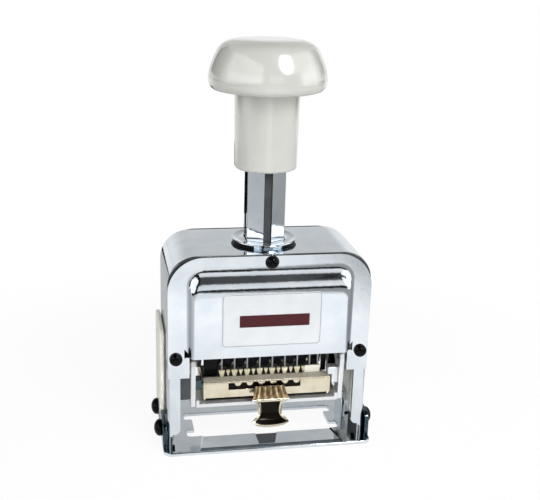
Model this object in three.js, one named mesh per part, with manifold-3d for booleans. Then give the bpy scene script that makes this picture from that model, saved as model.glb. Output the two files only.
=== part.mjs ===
// Desk numbering machine: a plunger in a metal frame drives eight number wheels down onto the
// paper, while the ink pad swings out of their way. Millimetres, +Z up, -Y is the front.
// The origin is on the plunger's axis, on the surface that the machine stands on.

import * as THREE from "three";
import { mergeVertices } from "three/addons/utils/BufferGeometryUtils.js";
import Module from "manifold-3d";

const wasm = await Module();
wasm.setup();

// Clearances
const fitGap = 0.3;
const slideGap = 0.25;
const overrun = 2;

// Stroke and wheel radius, and the heights that follow from them: the axle, the carriage's top,
// the guide bushing and the frame's top
const strokeLength = 22;
const wheelRadius = 8.4;
const carriageHeight = 21.6;
const tubeFootThickness = 1.4;
const tubeFootRoom = 0.6;
const bushingDepth = 15;
const axleZ = strokeLength + wheelRadius;
const bridgeTop = axleZ + carriageHeight;
const bushingBottom = bridgeTop + tubeFootThickness + tubeFootRoom;
const frameHeight = bushingBottom + bushingDepth;

// Frame and its covers
const frameWidth = 69;
const frameDepth = 34;
const frameCornerRadius = 10;
const frameWall = 1.6;
const coverSheet = 0.8;
const flangeWidth = 4.3;
const flangeTopWidth = 3.8;
const flangeSheet = 1.2;
const postBottom = 5;
const coverPanelRise = 3.8;
const coverPanelBottom = axleZ + coverPanelRise;
const coverPanelBorder = 6.2;
const coverPanelHalfWidth = frameWidth / 2 - coverPanelBorder;
const coverNotchBorder = 7.3;
const coverNotchHalfWidth = frameWidth / 2 - coverNotchBorder;
const coverEarDrop = 7.7;
const coverEarBottom = coverPanelBottom - coverEarDrop;
const embossRise = 2.5;
const embossTopRoll = 6.4;
const embossSideRoll = 2.8;
const embossCorner = 6;
const embossTopBorder = 3.9;
const rearPanelBottom = 30;

// Foot
const footOverhang = 1.8;
const footWidth = frameWidth + 2 * footOverhang;
const footDepth = 44.4;
const footSheet = 1.2;
const footCorner = 3;
const footWallHeight = 9.5;
const footWallSheet = 1.4;
const footWallReach = 1;
const footWallFront = frameDepth / 2 + footWallReach;
const windowBorder = 7.3;
const windowHalfWidth = frameWidth / 2 - windowBorder;
const windowFront = 11;
const windowRear = 5.6;
const windowCorner = 1.2;
const markerLength = 8.3;
const markerWidth = 2.8;
const footTabHeight = 9.5;
const footTabLength = 9;

// Side covers
const sideCoverFront = 5;
const sideCoverTop = 39;
const sideCoverSheet = 1.5;
const sideCoverOverlap = 2;
const sideCoverFrontBottom = 6.4;

// Fasteners and pivots
const screwHeadRadius = 2.2;
const screwHeadHeight = 1.9;
const screwShankRadius = 1.1;
const screwShankLength = 3;
const coverScrewInset = 2.8;
const coverScrewX = frameWidth / 2 - coverScrewInset;
const coverScrewDrop = 0.6;
const coverScrewZ = coverPanelBottom - coverScrewDrop;
const rearScrewRise = 5;
const rearScrewZ = sideCoverTop + rearScrewRise;
const footScrewHeadRadius = 2.95;
const footScrewHeadHeight = 2.6;
const footScrewShankRadius = 1.3;
const footScrewShankLength = 4.6;
const footScrewZ = 5.5;
const footScrewFrontY = -11;
const footScrewRearY = 5;
const lockButtonRadius = 2.15;
const lockButtonRise = 2.2;
const lockButtonDrop = 2.3;
const lockButtonZ = frameHeight - lockButtonDrop;
const lockStemRadius = 1.05;
const pivotRadius = 1.4;
const pivotShoulderRadius = 2.2;

// Label
const labelWidth = 33.5;
const labelSheet = 0.3;
const labelLowMargin = 4;
const labelTopMargin = 1.9;
const labelBottom = coverPanelBottom + labelLowMargin;
const labelTop = frameHeight - embossTopBorder - embossTopRoll - labelTopMargin;
const labelCorner = 1.3;

// Handle and plunger
const tubeAcrossFlats = 13;
const tubeCorner = 0.8;
const tubeBore = 9.6;
const tubeSlotWidth = 3;
const tubeGrooveWidth = 2.8;
const tubeGrooveDepth = 0.7;
const tubeFootRadius = 9.6;
const collarRadius = 11.2;
const collarRise = 1.5;
const collarUnderRadius = 9.9;
const bushingRadius = 9;
const crossPinRadius = 1.2;
const crossPinRise = 3.4;
const crossPinZ = bushingBottom + crossPinRise;
const sleeveRoom = 2.1;
const sleeveBottom = frameHeight + collarRise + strokeLength + sleeveRoom;
const sleeveLength = 24.4;
const sleeveTop = sleeveBottom + sleeveLength;
const sleeveTopRadius = 10.9;
const sleeveBottomRadius = 10.5;
const sleeveEdge = 1.1;
const knobRadius = 19.6;
const knobHeight = 18;
const knobTop = sleeveTop + knobHeight;
const knobFloorRadius = 17;
const knobRimHeight = 5;
const knobCrownRadius = 8;
const knobWaistRadius = 17.8;
const knobWaistHeight = 12.6;
const tubeTopCover = 6;
const tubeTop = sleeveTop - tubeTopCover;
const plugHeight = 4;

// Return spring
const springRadius = 3.9;
const springWire = 0.9;
const springCurls = 17;

// Widths across the inside: the swing arms hang inside the frame's walls, and the carriage plates
// between the arms hold the row of wheels.
const armInset = 9.5;
const armInner = frameWidth / 2 - armInset;
const armSheet = 1.5;
const plateRoom = 1.5;
const plateOuter = armInner - plateRoom;
const plateSheet = 1.5;

// Carriage and number wheels
const axleRadius = 1.5;
const axleHeadRadius = 2.6;
const axleHeadThickness = 0.7;
const wheelCount = 8;
const wheelSideRoom = 4.04;
const wheelPitch = (2 * (plateOuter - plateSheet) - wheelSideRoom) / (wheelCount + 1);
const ratchetWidth = 1;
const wheelGap = 0.34;
const wheelTypeWidth = wheelPitch - ratchetWidth - wheelGap;
const typeHeight = 1.1;
const wheelRootRadius = wheelRadius - typeHeight;
const wheelFaceHeight = 4.1;
const ratchetInset = 0.7;
const ratchetTipRadius = wheelRootRadius - ratchetInset;
const ratchetToothHeight = 1.2;
const ratchetRootRadius = ratchetTipRadius - ratchetToothHeight;
const stackOffset = 0.95;
const plateHalfDepth = 10;
const plateEndRadius = 7.2;
const bridgeThickness = 2.5;
const combRoom = 0.8;
const combY = wheelRadius + combRoom;
const combWireWidth = 0.9;
const combWireThickness = 0.5;
const combBarThickness = 1.6;
const combBarRise = 7.1;
const combBarBottom = axleZ + combBarRise;
const combBarHeight = 5;
const combTipDrop = 5;
const combTip = axleZ - combTipDrop;
const combBend = 1.3;

// Advance pawl
const pawlAngleDegrees = 62;
const pawlRoom = 1.2;
const pawlBarInner = wheelRadius + pawlRoom;
const pawlBarDepth = 2.6;
const pawlBarOuter = pawlBarInner + pawlBarDepth;
const pawlBarThickness = 1.8;
const pawlToothRoom = 0.5;
const pawlToothRadius = ratchetTipRadius + pawlToothRoom;
const pawlToothWidth = 0.7;
const pawlToothThickness = 1;
const pawlPlateSheet = 0.8;
const pawlHubRadius = 3.4;

// Ink pad, its case and its swing arms
const padSwingDegrees = 88;
const padPivotInset = 3.6;
const padPivotY = padPivotInset - frameDepth / 2;
const padRoom = 0.7;
const padTop = strokeLength - padRoom;
const trayHalfWidth = armInner - fitGap;
const trayInset = 1.8;
const trayFront = frameDepth / 2 - trayInset;
const trayRear = 5.6;
const trayDrop = 6.5;
const trayBottom = padTop - trayDrop;
const traySheet = 1.2;
const trayRim = 1;
const trayRimHeight = 2.6;
const trayLip = 0.8;
const caseSideRoom = 2.5;
const caseHalfWidth = trayHalfWidth - caseSideRoom;
const caseLipRise = 2.2;
const caseLip = padTop + caseLipRise;
const caseSheet = 0.8;
const caseFloor = 1.4;
const caseWallDrop = 0.5;
const caseWallTop = padTop - caseWallDrop;
const caseRecess = 1;
const caseRecessHeight = 1.2;
const armEdge = 2.6;
const armBossRadius = 3.1;
const camPinRadius = 1.25;
const camPinY = 6;
const camPinRise = 10;
const camPinZ = axleZ + camPinRise;
const camPinEnd = 0.4;
const camPinLength = plateSheet + plateRoom + armSheet + camPinEnd;

// Finger tab of the pad case
const tabDrop = 2.1;
const tabTop = caseLip - tabDrop;
const tabLip = 4.8;
const tabTopHalfWidth = 6.4;
const tabWaistHalfWidth = 3.8;
const tabLipHalfWidth = 6.2;
const tabReach = 2.6;
const tabSheet = 1.1;
const tabOffset = 1.2;

// Facets
const roundSides = 36;
const smallSides = 12;
const arcSteps = 6;
const domeSteps = 4;

// Shares of the sizes that they follow
const collarEdgeShare = 0.55;
const collarRimShare = 0.8;
const collarDishShare = 0.62;
const collarLipShare = 0.33;
const buttonRimShare = 0.35;
const screwRimShare = 0.28;
const knobLowShare = 0.965;
const knobLowHeightShare = 0.08;
const knobShoulderShare = 0.975;
const knobShoulderHeightShare = 0.52;
const knobBrowShare = 0.78;
const knobBrowHeightShare = 0.93;
const knobCrownHeightShare = 0.995;
const grooveShare = 0.35;
const ratchetBackShare = 0.9;
// Levels of the finger tab, top to bottom: how far down, the shares of the top flare and of the
// lip flare, and the share of the reach.
const tabLevelShares = [
  [0, 0.85, 0, 0.4],
  [0.16, 1, 0, 0.8],
  [0.36, 0.4, 0, 1],
  [0.42, 0, 0, 0.55],
  [0.62, 0, 0, 0.35],
  [0.82, 0, 0.4, 0.6],
  [1, 0, 1, 1],
];

const degree = Math.PI / 180;

// The lower and upper end of a stretch from a to b on one side of the middle.
function stretch(side, a, b) {
  return side < 0 ? [-b, -a] : [a, b];
}

// A closed geometry as a solid, with its faces turned out.
function solid(geometry) {
  const plain = geometry.clone();
  plain.deleteAttribute("normal");
  plain.deleteAttribute("uv");
  const merged = mergeVertices(plain, 1e-4);
  const corners = new Uint32Array(merged.index.array);
  const points = merged.attributes.position.array;
  const make = () =>
    new wasm.Manifold(
      new wasm.Mesh({ numProp: 3, vertProperties: points, triVerts: corners }),
    );
  const made = make();
  if (made.volume() >= 0) return made;
  for (let i = 0; i < corners.length; i += 3) {
    [corners[i + 1], corners[i + 2]] = [corners[i + 2], corners[i + 1]];
  }
  return make();
}

// A solid as a named mesh with its material.
function piece(name, body, material) {
  const mesh = body.getMesh();
  const stride = mesh.numProp;
  const points = new Float32Array(mesh.numVert * 3);
  for (let i = 0; i < mesh.numVert; i++) {
    points.set(mesh.vertProperties.subarray(i * stride, i * stride + 3), i * 3);
  }
  const geometry = new THREE.BufferGeometry();
  geometry.setAttribute("position", new THREE.BufferAttribute(points, 3));
  geometry.setIndex(new THREE.BufferAttribute(new Uint32Array(mesh.triVerts), 1));
  geometry.computeVertexNormals();
  const made = new THREE.Mesh(geometry, material);
  made.name = name;
  return made;
}

function join(...bodies) {
  return bodies.reduce((sum, body) => sum.add(body));
}

function cut(body, ...tools) {
  return tools.reduce((left, tool) => left.subtract(tool), body);
}

function block(x0, x1, y0, y1, z0, z1) {
  const geometry = new THREE.BoxGeometry(x1 - x0, y1 - y0, z1 - z0);
  geometry.translate((x0 + x1) / 2, (y0 + y1) / 2, (z0 + z1) / 2);
  return solid(geometry);
}

function shapeOf(outline) {
  return new THREE.Shape(outline.map(([a, b]) => new THREE.Vector2(a, b)));
}

// An outline of (x, y) points raised along Z.
function prismZ(outline, z0, z1) {
  const options = { depth: z1 - z0, bevelEnabled: false };
  const geometry = new THREE.ExtrudeGeometry(shapeOf(outline), options);
  geometry.translate(0, 0, z0);
  return solid(geometry);
}

// An outline of (x, z) points raised along Y.
function prismY(outline, y0, y1) {
  const options = { depth: y1 - y0, bevelEnabled: false };
  const geometry = new THREE.ExtrudeGeometry(shapeOf(outline), options);
  const turn = new THREE.Matrix4().makeBasis(
    new THREE.Vector3(1, 0, 0),
    new THREE.Vector3(0, 0, 1),
    new THREE.Vector3(0, -1, 0),
  );
  geometry.applyMatrix4(turn);
  geometry.translate(0, y1, 0);
  return solid(geometry);
}

// An outline of (y, z) points raised along X.
function prismX(outline, x0, x1) {
  const options = { depth: x1 - x0, bevelEnabled: false };
  const geometry = new THREE.ExtrudeGeometry(shapeOf(outline), options);
  const turn = new THREE.Matrix4().makeBasis(
    new THREE.Vector3(0, 1, 0),
    new THREE.Vector3(0, 0, 1),
    new THREE.Vector3(1, 0, 0),
  );
  geometry.applyMatrix4(turn);
  geometry.translate(x0, 0, 0);
  return solid(geometry);
}

// A profile of (radius, height) points turned about Z.
function turned(profile, sides) {
  const points = profile.map(([r, h]) => new THREE.Vector2(r, h));
  const geometry = new THREE.LatheGeometry(points, sides);
  geometry.rotateX(Math.PI / 2);
  return solid(geometry);
}

// The same profile turned about the X axis, from x0 outwards in the sense of side.
function turnedX(profile, sides, side, x0, y, z) {
  const points = profile.map(([r, h]) => new THREE.Vector2(r, h));
  const geometry = new THREE.LatheGeometry(points, sides);
  geometry.rotateZ((-side * Math.PI) / 2);
  geometry.translate(side * x0, y, z);
  return solid(geometry);
}

function turnedY(profile, sides, side, x, y0, z) {
  const points = profile.map(([r, h]) => new THREE.Vector2(r, h));
  const geometry = new THREE.LatheGeometry(points, sides);
  if (side < 0) geometry.rotateX(Math.PI);
  geometry.translate(x, y0, z);
  return solid(geometry);
}

function rod(radius, from, to) {
  return [
    [0, from],
    [radius, from],
    [radius, to],
    [0, to],
  ];
}

// Points of an arc about (a, b), from one angle to the other in degrees.
function arc(a, b, radius, from, to, steps = arcSteps) {
  const points = [];
  for (let i = 0; i <= steps; i++) {
    const angle = (from + ((to - from) * i) / steps) * degree;
    points.push([a + radius * Math.cos(angle), b + radius * Math.sin(angle)]);
  }
  return points;
}

// A domed screw head on a shank: its seat is at height 0 and the shank runs down from it.
function domedScrew(headRadius, headHeight, shankRadius, shankLength) {
  const profile = [
    [0, -shankLength],
    [shankRadius, -shankLength],
    [shankRadius, 0],
    [headRadius, 0],
  ];
  for (let i = 0; i <= domeSteps; i++) {
    const angle = ((i / domeSteps) * Math.PI) / 2;
    const rim = headHeight * screwRimShare;
    const height = rim + (headHeight - rim) * Math.sin(angle);
    profile.push([headRadius * Math.cos(angle), height]);
  }
  profile[profile.length - 1][0] = 0;
  return profile;
}

// Frame outline: an upside-down U with rounded upper corners, open at the bottom.
function arch(halfWidth, bottom, top, radius) {
  return [
    [halfWidth, bottom],
    ...arc(halfWidth - radius, top - radius, radius, 0, 90),
    ...arc(radius - halfWidth, top - radius, radius, 90, 180),
    [-halfWidth, bottom],
  ];
}

const half = {
  width: frameWidth / 2,
  depth: frameDepth / 2,
  foot: footWidth / 2,
  footDepth: footDepth / 2,
};
const sheetFace = half.depth - coverSheet;
const innerHalf = half.width - frameWall;

const chrome = new THREE.MeshStandardMaterial({
  color: 0xd9dde0,
  roughness: 0.12,
  metalness: 1,
});
const steel = new THREE.MeshStandardMaterial({
  color: 0xb9bcc0,
  roughness: 0.35,
  metalness: 1,
});
const brass = new THREE.MeshStandardMaterial({
  color: 0xd8b774,
  roughness: 0.25,
  metalness: 1,
});
const ivoryPlastic = new THREE.MeshStandardMaterial({
  color: 0xe6e2da,
  roughness: 0.2,
  metalness: 0,
});
const creamPlastic = new THREE.MeshStandardMaterial({
  color: 0xe9e6d8,
  roughness: 0.45,
  metalness: 0,
});
const blackSteel = new THREE.MeshStandardMaterial({
  color: 0x17171a,
  roughness: 0.25,
  metalness: 0.6,
});
const feltInk = new THREE.MeshStandardMaterial({
  color: 0x1a1a20,
  roughness: 0.95,
  metalness: 0,
});
const labelFoil = new THREE.MeshStandardMaterial({
  color: 0xf1f2f2,
  roughness: 0.4,
  metalness: 0.2,
});

// Frame: side walls and top in one bent strip, with a flange round the front and the rear.
function frameShell() {
  const ring = (innerHalfWidth, innerTop, innerRadius, bottom, y0, y1) =>
    prismY(
      [
        ...arch(half.width, bottom, frameHeight, frameCornerRadius),
        ...arch(innerHalfWidth, bottom, innerTop, innerRadius).reverse(),
      ],
      y0,
      y1,
    );
  const strip = ring(
    innerHalf,
    frameHeight - frameWall,
    frameCornerRadius - frameWall,
    footSheet,
    -sheetFace,
    sheetFace,
  );
  const flange = (bottom, y0, y1) =>
    ring(
      half.width - flangeWidth,
      frameHeight - flangeTopWidth,
      frameCornerRadius - flangeTopWidth,
      bottom,
      y0,
      y1,
    );
  const front = flange(postBottom, -sheetFace, flangeSheet - sheetFace);
  const rear = flange(sideCoverTop, sheetFace - flangeSheet, sheetFace);
  const notchTop = sideCoverTop - sideCoverOverlap + fitGap;
  const notchFront = -sideCoverFront + sideCoverOverlap - fitGap;
  const notch = block(
    -half.width - overrun,
    half.width + overrun,
    notchFront,
    half.depth + overrun,
    -overrun,
    notchTop,
  );
  const footRelief = block(
    -half.width - overrun,
    half.width + overrun,
    footScrewFrontY + footTabLength / 2 + overrun,
    half.depth + overrun,
    -overrun,
    footSheet + fitGap,
  );
  const neck = turned(
    rod(bushingRadius + slideGap, bushingBottom, frameHeight + overrun),
    roundSides,
  );
  const buttonHole = turnedY(
    rod(lockButtonRadius + fitGap, -overrun, frameWall + coverSheet + overrun),
    smallSides,
    1,
    0,
    -half.depth,
    lockButtonZ,
  );
  const stemGroove = turnedY(
    rod(lockStemRadius + slideGap, 0, half.depth),
    smallSides,
    1,
    0,
    -half.depth,
    lockButtonZ,
  );
  const holes = [];
  for (const side of [-1, 1]) {
    const crossing = (radius, y, z) =>
      turnedX(
        rod(radius + slideGap, -overrun, frameWall + overrun),
        smallSides,
        side,
        innerHalf,
        y,
        z,
      );
    holes.push(crossing(pivotRadius, padPivotY, axleZ));
    holes.push(crossing(footScrewShankRadius, footScrewFrontY, footScrewZ));
    for (const [face, z] of [
      [-1, coverScrewZ],
      [1, rearScrewZ],
    ]) {
      holes.push(
        turnedY(
          rod(screwShankRadius + slideGap, -overrun, overrun),
          smallSides,
          1,
          side * coverScrewX,
          face * sheetFace,
          z,
        ),
      );
    }
  }
  const body = cut(strip, notch, footRelief);
  return cut(join(body, front, rear), neck, buttonHole, stemGroove, ...holes);
}

// A loft through rings of [x, y, z] points, closed at both ends.
function loft(rings) {
  const count = rings[0].length;
  const index = [];
  for (let k = 0; k + 1 < rings.length; k++) {
    for (let i = 0; i < count; i++) {
      const a = k * count + i;
      const b = k * count + ((i + 1) % count);
      index.push(a, b, b + count, a, b + count, a + count);
    }
  }
  const last = (rings.length - 1) * count;
  for (let i = 1; i + 1 < count; i++) {
    index.push(0, i + 1, i);
    index.push(last, last + i, last + i + 1);
  }
  const geometry = new THREE.BufferGeometry();
  const array = new Float32Array(rings.flat(2));
  geometry.setAttribute("position", new THREE.BufferAttribute(array, 3));
  geometry.setIndex(index);
  return solid(geometry);
}

// The embossed panel of a cover: its roll rises as a quarter round from the flat border.
function emboss(bottom, inset, start, side) {
  const rings = [];
  const rollSteps = 5;
  const archAt = (topRoll, sideRoll, y) => {
    const halfWidth = coverPanelHalfWidth - inset - sideRoll;
    const top = frameHeight - embossTopBorder - inset - topRoll;
    const outline = arch(halfWidth, bottom, top, embossCorner - sideRoll);
    return outline.map(([x, z]) => [x, y, z]);
  };
  rings.push(archAt(0, 0, side * start));
  for (let i = 0; i <= rollSteps; i++) {
    const angle = ((i / rollSteps) * Math.PI) / 2;
    const rise = embossRise * Math.sin(angle) - inset;
    const roll = 1 - Math.cos(angle);
    rings.push(
      archAt(embossTopRoll * roll, embossSideRoll * roll, side * (half.depth + rise)),
    );
  }
  return loft(rings);
}

function coverHoles(screwZ, face, side) {
  return turnedY(
    rod(screwShankRadius + slideGap, -overrun, overrun),
    smallSides,
    1,
    side * coverScrewX,
    face * half.depth,
    screwZ,
  );
}

function frontCover() {
  const outline = [
    [half.width, coverEarBottom],
    ...arc(
      half.width - frameCornerRadius,
      frameHeight - frameCornerRadius,
      frameCornerRadius,
      0,
      90,
    ),
    ...arc(
      frameCornerRadius - half.width,
      frameHeight - frameCornerRadius,
      frameCornerRadius,
      90,
      180,
    ),
    [-half.width, coverEarBottom],
    [-coverNotchHalfWidth, coverEarBottom],
    [-coverNotchHalfWidth, coverPanelBottom],
    [coverNotchHalfWidth, coverPanelBottom],
    [coverNotchHalfWidth, coverEarBottom],
  ];
  const sheet = prismY(outline, -half.depth, -sheetFace);
  const outside = emboss(coverPanelBottom, 0, sheetFace, -1);
  const inside = emboss(
    coverPanelBottom - overrun,
    coverSheet,
    sheetFace - overrun,
    -1,
  );
  const button = turnedY(
    rod(lockButtonRadius + fitGap, -overrun, overrun),
    smallSides,
    1,
    0,
    -half.depth,
    lockButtonZ,
  );
  return cut(
    join(sheet, outside),
    inside,
    button,
    coverHoles(coverScrewZ, -1, -1),
    coverHoles(coverScrewZ, -1, 1),
  );
}

function rearCover() {
  const ledge = sideCoverTop + fitGap;
  const outline = [
    [half.width, ledge],
    ...arc(
      half.width - frameCornerRadius,
      frameHeight - frameCornerRadius,
      frameCornerRadius,
      0,
      90,
    ),
    ...arc(
      frameCornerRadius - half.width,
      frameHeight - frameCornerRadius,
      frameCornerRadius,
      90,
      180,
    ),
    [-half.width, ledge],
    [-coverNotchHalfWidth - coverSheet, ledge],
    [-coverNotchHalfWidth - coverSheet, rearPanelBottom],
    [coverNotchHalfWidth + coverSheet, rearPanelBottom],
    [coverNotchHalfWidth + coverSheet, ledge],
  ];
  const sheet = prismY(outline, sheetFace, half.depth);
  const outside = emboss(rearPanelBottom, 0, sheetFace, 1);
  const inside = emboss(
    rearPanelBottom - overrun,
    coverSheet,
    sheetFace - overrun,
    1,
  );
  return cut(
    join(sheet, outside),
    inside,
    coverHoles(rearScrewZ, 1, -1),
    coverHoles(rearScrewZ, 1, 1),
  );
}

// Rounded rectangle of (a, b) points.
function roundedRectangle(a0, a1, b0, b1, radius) {
  return [
    ...arc(a1 - radius, b0 + radius, radius, -90, 0),
    ...arc(a1 - radius, b1 - radius, radius, 0, 90),
    ...arc(a0 + radius, b1 - radius, radius, 90, 180),
    ...arc(a0 + radius, b0 + radius, radius, 180, 270),
  ];
}

// Foot: a windowed plate that lies on the paper, with low walls that grip the frame's sides.
function baseFoot() {
  const plate = prismZ(
    roundedRectangle(-half.foot, half.foot, -half.footDepth, half.footDepth, footCorner),
    0,
    footSheet,
  );
  const opening = prismZ(
    roundedRectangle(
      -windowHalfWidth,
      windowHalfWidth,
      -windowFront,
      windowRear,
      windowCorner,
    ),
    -overrun,
    footSheet + overrun,
  );
  const middle = (windowRear - windowFront) / 2;
  const parts = [cut(plate, opening)];
  const holes = [];
  for (const side of [-1, 1]) {
    const along = (x0, x1, y0, y1, z0, z1) =>
      block(...stretch(side, x0, x1), y0, y1, z0, z1);
    parts.push(
      along(
        windowHalfWidth - markerWidth,
        windowHalfWidth + overrun,
        middle - markerLength / 2,
        middle + markerLength / 2,
        0,
        footSheet,
      ),
    );
    const wallOutline = [
      [-footWallFront, 0],
      [-sideCoverFront - fitGap, 0],
      [-sideCoverFront - fitGap, footWallHeight],
      ...arc(
        footCorner - footWallFront,
        footWallHeight - footCorner,
        footCorner,
        90,
        180,
      ),
    ];
    const wallOuter = half.foot;
    const wallInner = half.foot - footWallSheet;
    parts.push(prismX(wallOutline, ...stretch(side, wallInner, wallOuter)));
    const tabOuter = innerHalf - fitGap;
    parts.push(
      along(
        tabOuter - footWallSheet,
        tabOuter,
        footScrewRearY - footTabLength / 2,
        footScrewRearY + footTabLength / 2,
        0,
        footTabHeight,
      ),
    );
    for (const y of [footScrewFrontY, footScrewRearY]) {
      holes.push(
        turnedX(
          rod(footScrewShankRadius + slideGap, -overrun, half.foot - tabOuter + 2 * overrun),
          smallSides,
          side,
          tabOuter - footWallSheet,
          y,
          footScrewZ,
        ),
      );
    }
  }
  return cut(join(...parts), ...holes);
}

// Side cover: a moulded plate over the rear part of a side wall, with a pad in the wall's notch.
function sideCover(side) {
  const outer = half.foot;
  const inner = half.width + fitGap;
  const slope = [
    [-sideCoverFront, sideCoverFrontBottom],
    [half.depth, footSheet + fitGap],
    [half.depth, sideCoverTop - sideCoverSheet],
    ...arc(
      half.depth - sideCoverSheet,
      sideCoverTop - sideCoverSheet,
      sideCoverSheet,
      0,
      90,
    ),
    ...arc(
      sideCoverSheet - sideCoverFront,
      sideCoverTop - sideCoverSheet,
      sideCoverSheet,
      90,
      180,
    ),
  ];
  const padOutline = [
    [-sideCoverFront + sideCoverOverlap, sideCoverFrontBottom],
    [half.depth - sideCoverSheet, footSheet + fitGap],
    [half.depth - sideCoverSheet, sideCoverTop - sideCoverOverlap],
    [-sideCoverFront + sideCoverOverlap, sideCoverTop - sideCoverOverlap],
  ];
  const plate = prismX(slope, ...stretch(side, inner, outer));
  const pad = prismX(padOutline, ...stretch(side, innerHalf, inner + sideCoverSheet / 2));
  const hole = turnedX(
    rod(footScrewShankRadius + slideGap, -overrun, outer - innerHalf + overrun),
    smallSides,
    side,
    innerHalf,
    footScrewRearY,
    footScrewZ,
  );
  return cut(join(plate, pad), hole);
}

// Hexagon with two flats across X and small round corners.
function hexagon(acrossFlats, corner) {
  const points = [];
  const reach = (acrossFlats / 2 - corner) / Math.cos(Math.PI / 6);
  const cornerSteps = 2;
  for (let i = 0; i < 6; i++) {
    const at = 90 + 60 * i;
    const a = reach * Math.cos(at * degree);
    const b = reach * Math.sin(at * degree);
    points.push(...arc(a, b, corner, at - 30, at + 30, cornerSteps));
  }
  return points;
}

function guideCollar() {
  const profile = [
    [0, bushingBottom],
    [bushingRadius, bushingBottom],
    [bushingRadius, frameHeight],
    [collarUnderRadius, frameHeight],
    [collarRadius, frameHeight + collarRise * collarEdgeShare],
    [collarRadius, frameHeight + collarRise * collarRimShare],
    [collarRadius - collarRise * collarLipShare, frameHeight + collarRise],
    [tubeAcrossFlats * collarDishShare, frameHeight + collarRise * collarRimShare],
    [0, frameHeight + collarRise * collarRimShare],
  ];
  const bore = prismZ(
    hexagon(tubeAcrossFlats + 2 * slideGap, tubeCorner),
    bushingBottom - overrun,
    frameHeight + collarRise + overrun,
  );
  const pin = turnedX(
    rod(crossPinRadius + slideGap, -bushingRadius - overrun, bushingRadius + overrun),
    smallSides,
    1,
    0,
    0,
    crossPinZ,
  );
  const stem = turnedY(
    rod(lockStemRadius + slideGap, -overrun, bushingRadius),
    smallSides,
    1,
    0,
    -bushingRadius,
    lockButtonZ,
  );
  return cut(turned(profile, roundSides), bore, pin, stem);
}

function crossPin() {
  const reach = bushingRadius - fitGap;
  return turnedX(rod(crossPinRadius, -reach, reach), smallSides, 1, 0, 0, crossPinZ);
}

function lockButton() {
  const stemTip = bushingRadius - fitGap;
  const seat = half.depth - slideGap;
  const profile = [
    [0, stemTip - seat],
    [lockStemRadius, stemTip - seat],
    [lockStemRadius, 0],
    [lockButtonRadius, 0],
  ];
  for (let i = 0; i <= domeSteps; i++) {
    const angle = ((i / domeSteps) * Math.PI) / 2;
    const rim = lockButtonRise * buttonRimShare;
    const height = rim + (lockButtonRise - rim) * Math.sin(angle);
    profile.push([lockButtonRadius * Math.cos(angle), height]);
  }
  profile[profile.length - 1][0] = 0;
  return turnedY(profile, smallSides, -1, 0, -seat, lockButtonZ);
}

function labelPlate() {
  const face = half.depth + embossRise;
  return prismY(
    roundedRectangle(
      -labelWidth / 2,
      labelWidth / 2,
      labelBottom,
      labelTop,
      labelCorner,
    ),
    -face - labelSheet,
    -face,
  );
}

// A domed screw through a cover, on the front (face -1) or the rear (face 1).
function coverScrew(face, side, z) {
  const profile = domedScrew(
    screwHeadRadius,
    screwHeadHeight,
    screwShankRadius,
    screwShankLength,
  );
  return turnedY(
    profile,
    smallSides,
    face,
    side * coverScrewX,
    face * half.depth,
    z,
  );
}

function footScrew(side, y) {
  const profile = domedScrew(
    footScrewHeadRadius,
    footScrewHeadHeight,
    footScrewShankRadius,
    footScrewShankLength,
  );
  return turnedX(profile, smallSides, side, half.foot, y, footScrewZ);
}

// A shouldered pin that carries one swing arm on the frame's wall.
function padPivot(side) {
  const shoulder = armInner + armSheet + fitGap;
  const shoulderEnd = half.width - flangeWidth - fitGap;
  const profile = [
    [0, 0],
    [pivotRadius, 0],
    [pivotRadius, shoulder - armInner],
    [pivotShoulderRadius, shoulder - armInner],
    [pivotShoulderRadius, shoulderEnd - armInner],
    [pivotRadius, shoulderEnd - armInner],
    [pivotRadius, half.width - armInner],
    [0, half.width - armInner],
  ];
  return turnedX(profile, smallSides, side, armInner, padPivotY, axleZ);
}

// Plunger tube: a hexagonal tube slotted at both sides for the cross pin, grooved down its
// front corner for the lock button's stem, with a round foot.
function plungerTube() {
  const bar = prismZ(hexagon(tubeAcrossFlats, tubeCorner), bridgeTop, tubeTop);
  const foot = turned(
    rod(tubeFootRadius, bridgeTop, bridgeTop + tubeFootThickness),
    roundSides,
  );
  const bore = turned(
    rod(tubeBore / 2, bridgeTop - overrun, tubeTop + overrun),
    roundSides,
  );
  const slotMargin = crossPinRadius + 2 * fitGap;
  const slot = block(
    -tubeAcrossFlats,
    tubeAcrossFlats,
    -tubeSlotWidth / 2,
    tubeSlotWidth / 2,
    crossPinZ - slotMargin,
    Math.max(crossPinZ + strokeLength + slotMargin, sleeveBottom + sleeveEdge),
  );
  const grooveFloor = tubeAcrossFlats / 2 / Math.cos(Math.PI / 6) - tubeGrooveDepth * 2;
  const groove = block(
    -tubeGrooveWidth / 2,
    tubeGrooveWidth / 2,
    -tubeAcrossFlats,
    -grooveFloor,
    bridgeTop + tubeFootThickness,
    sleeveBottom + sleeveEdge,
  );
  return cut(join(bar, foot), bore, slot, groove);
}

function tubePlug() {
  const skirt = turned(
    rod(tubeBore / 2 - slideGap, tubeTop - plugHeight, tubeTop + fitGap),
    roundSides,
  );
  const cap = turned(
    rod(tubeAcrossFlats / 2, tubeTop + fitGap / 2, tubeTop + plugHeight),
    roundSides,
  );
  return join(skirt, cap);
}

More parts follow.
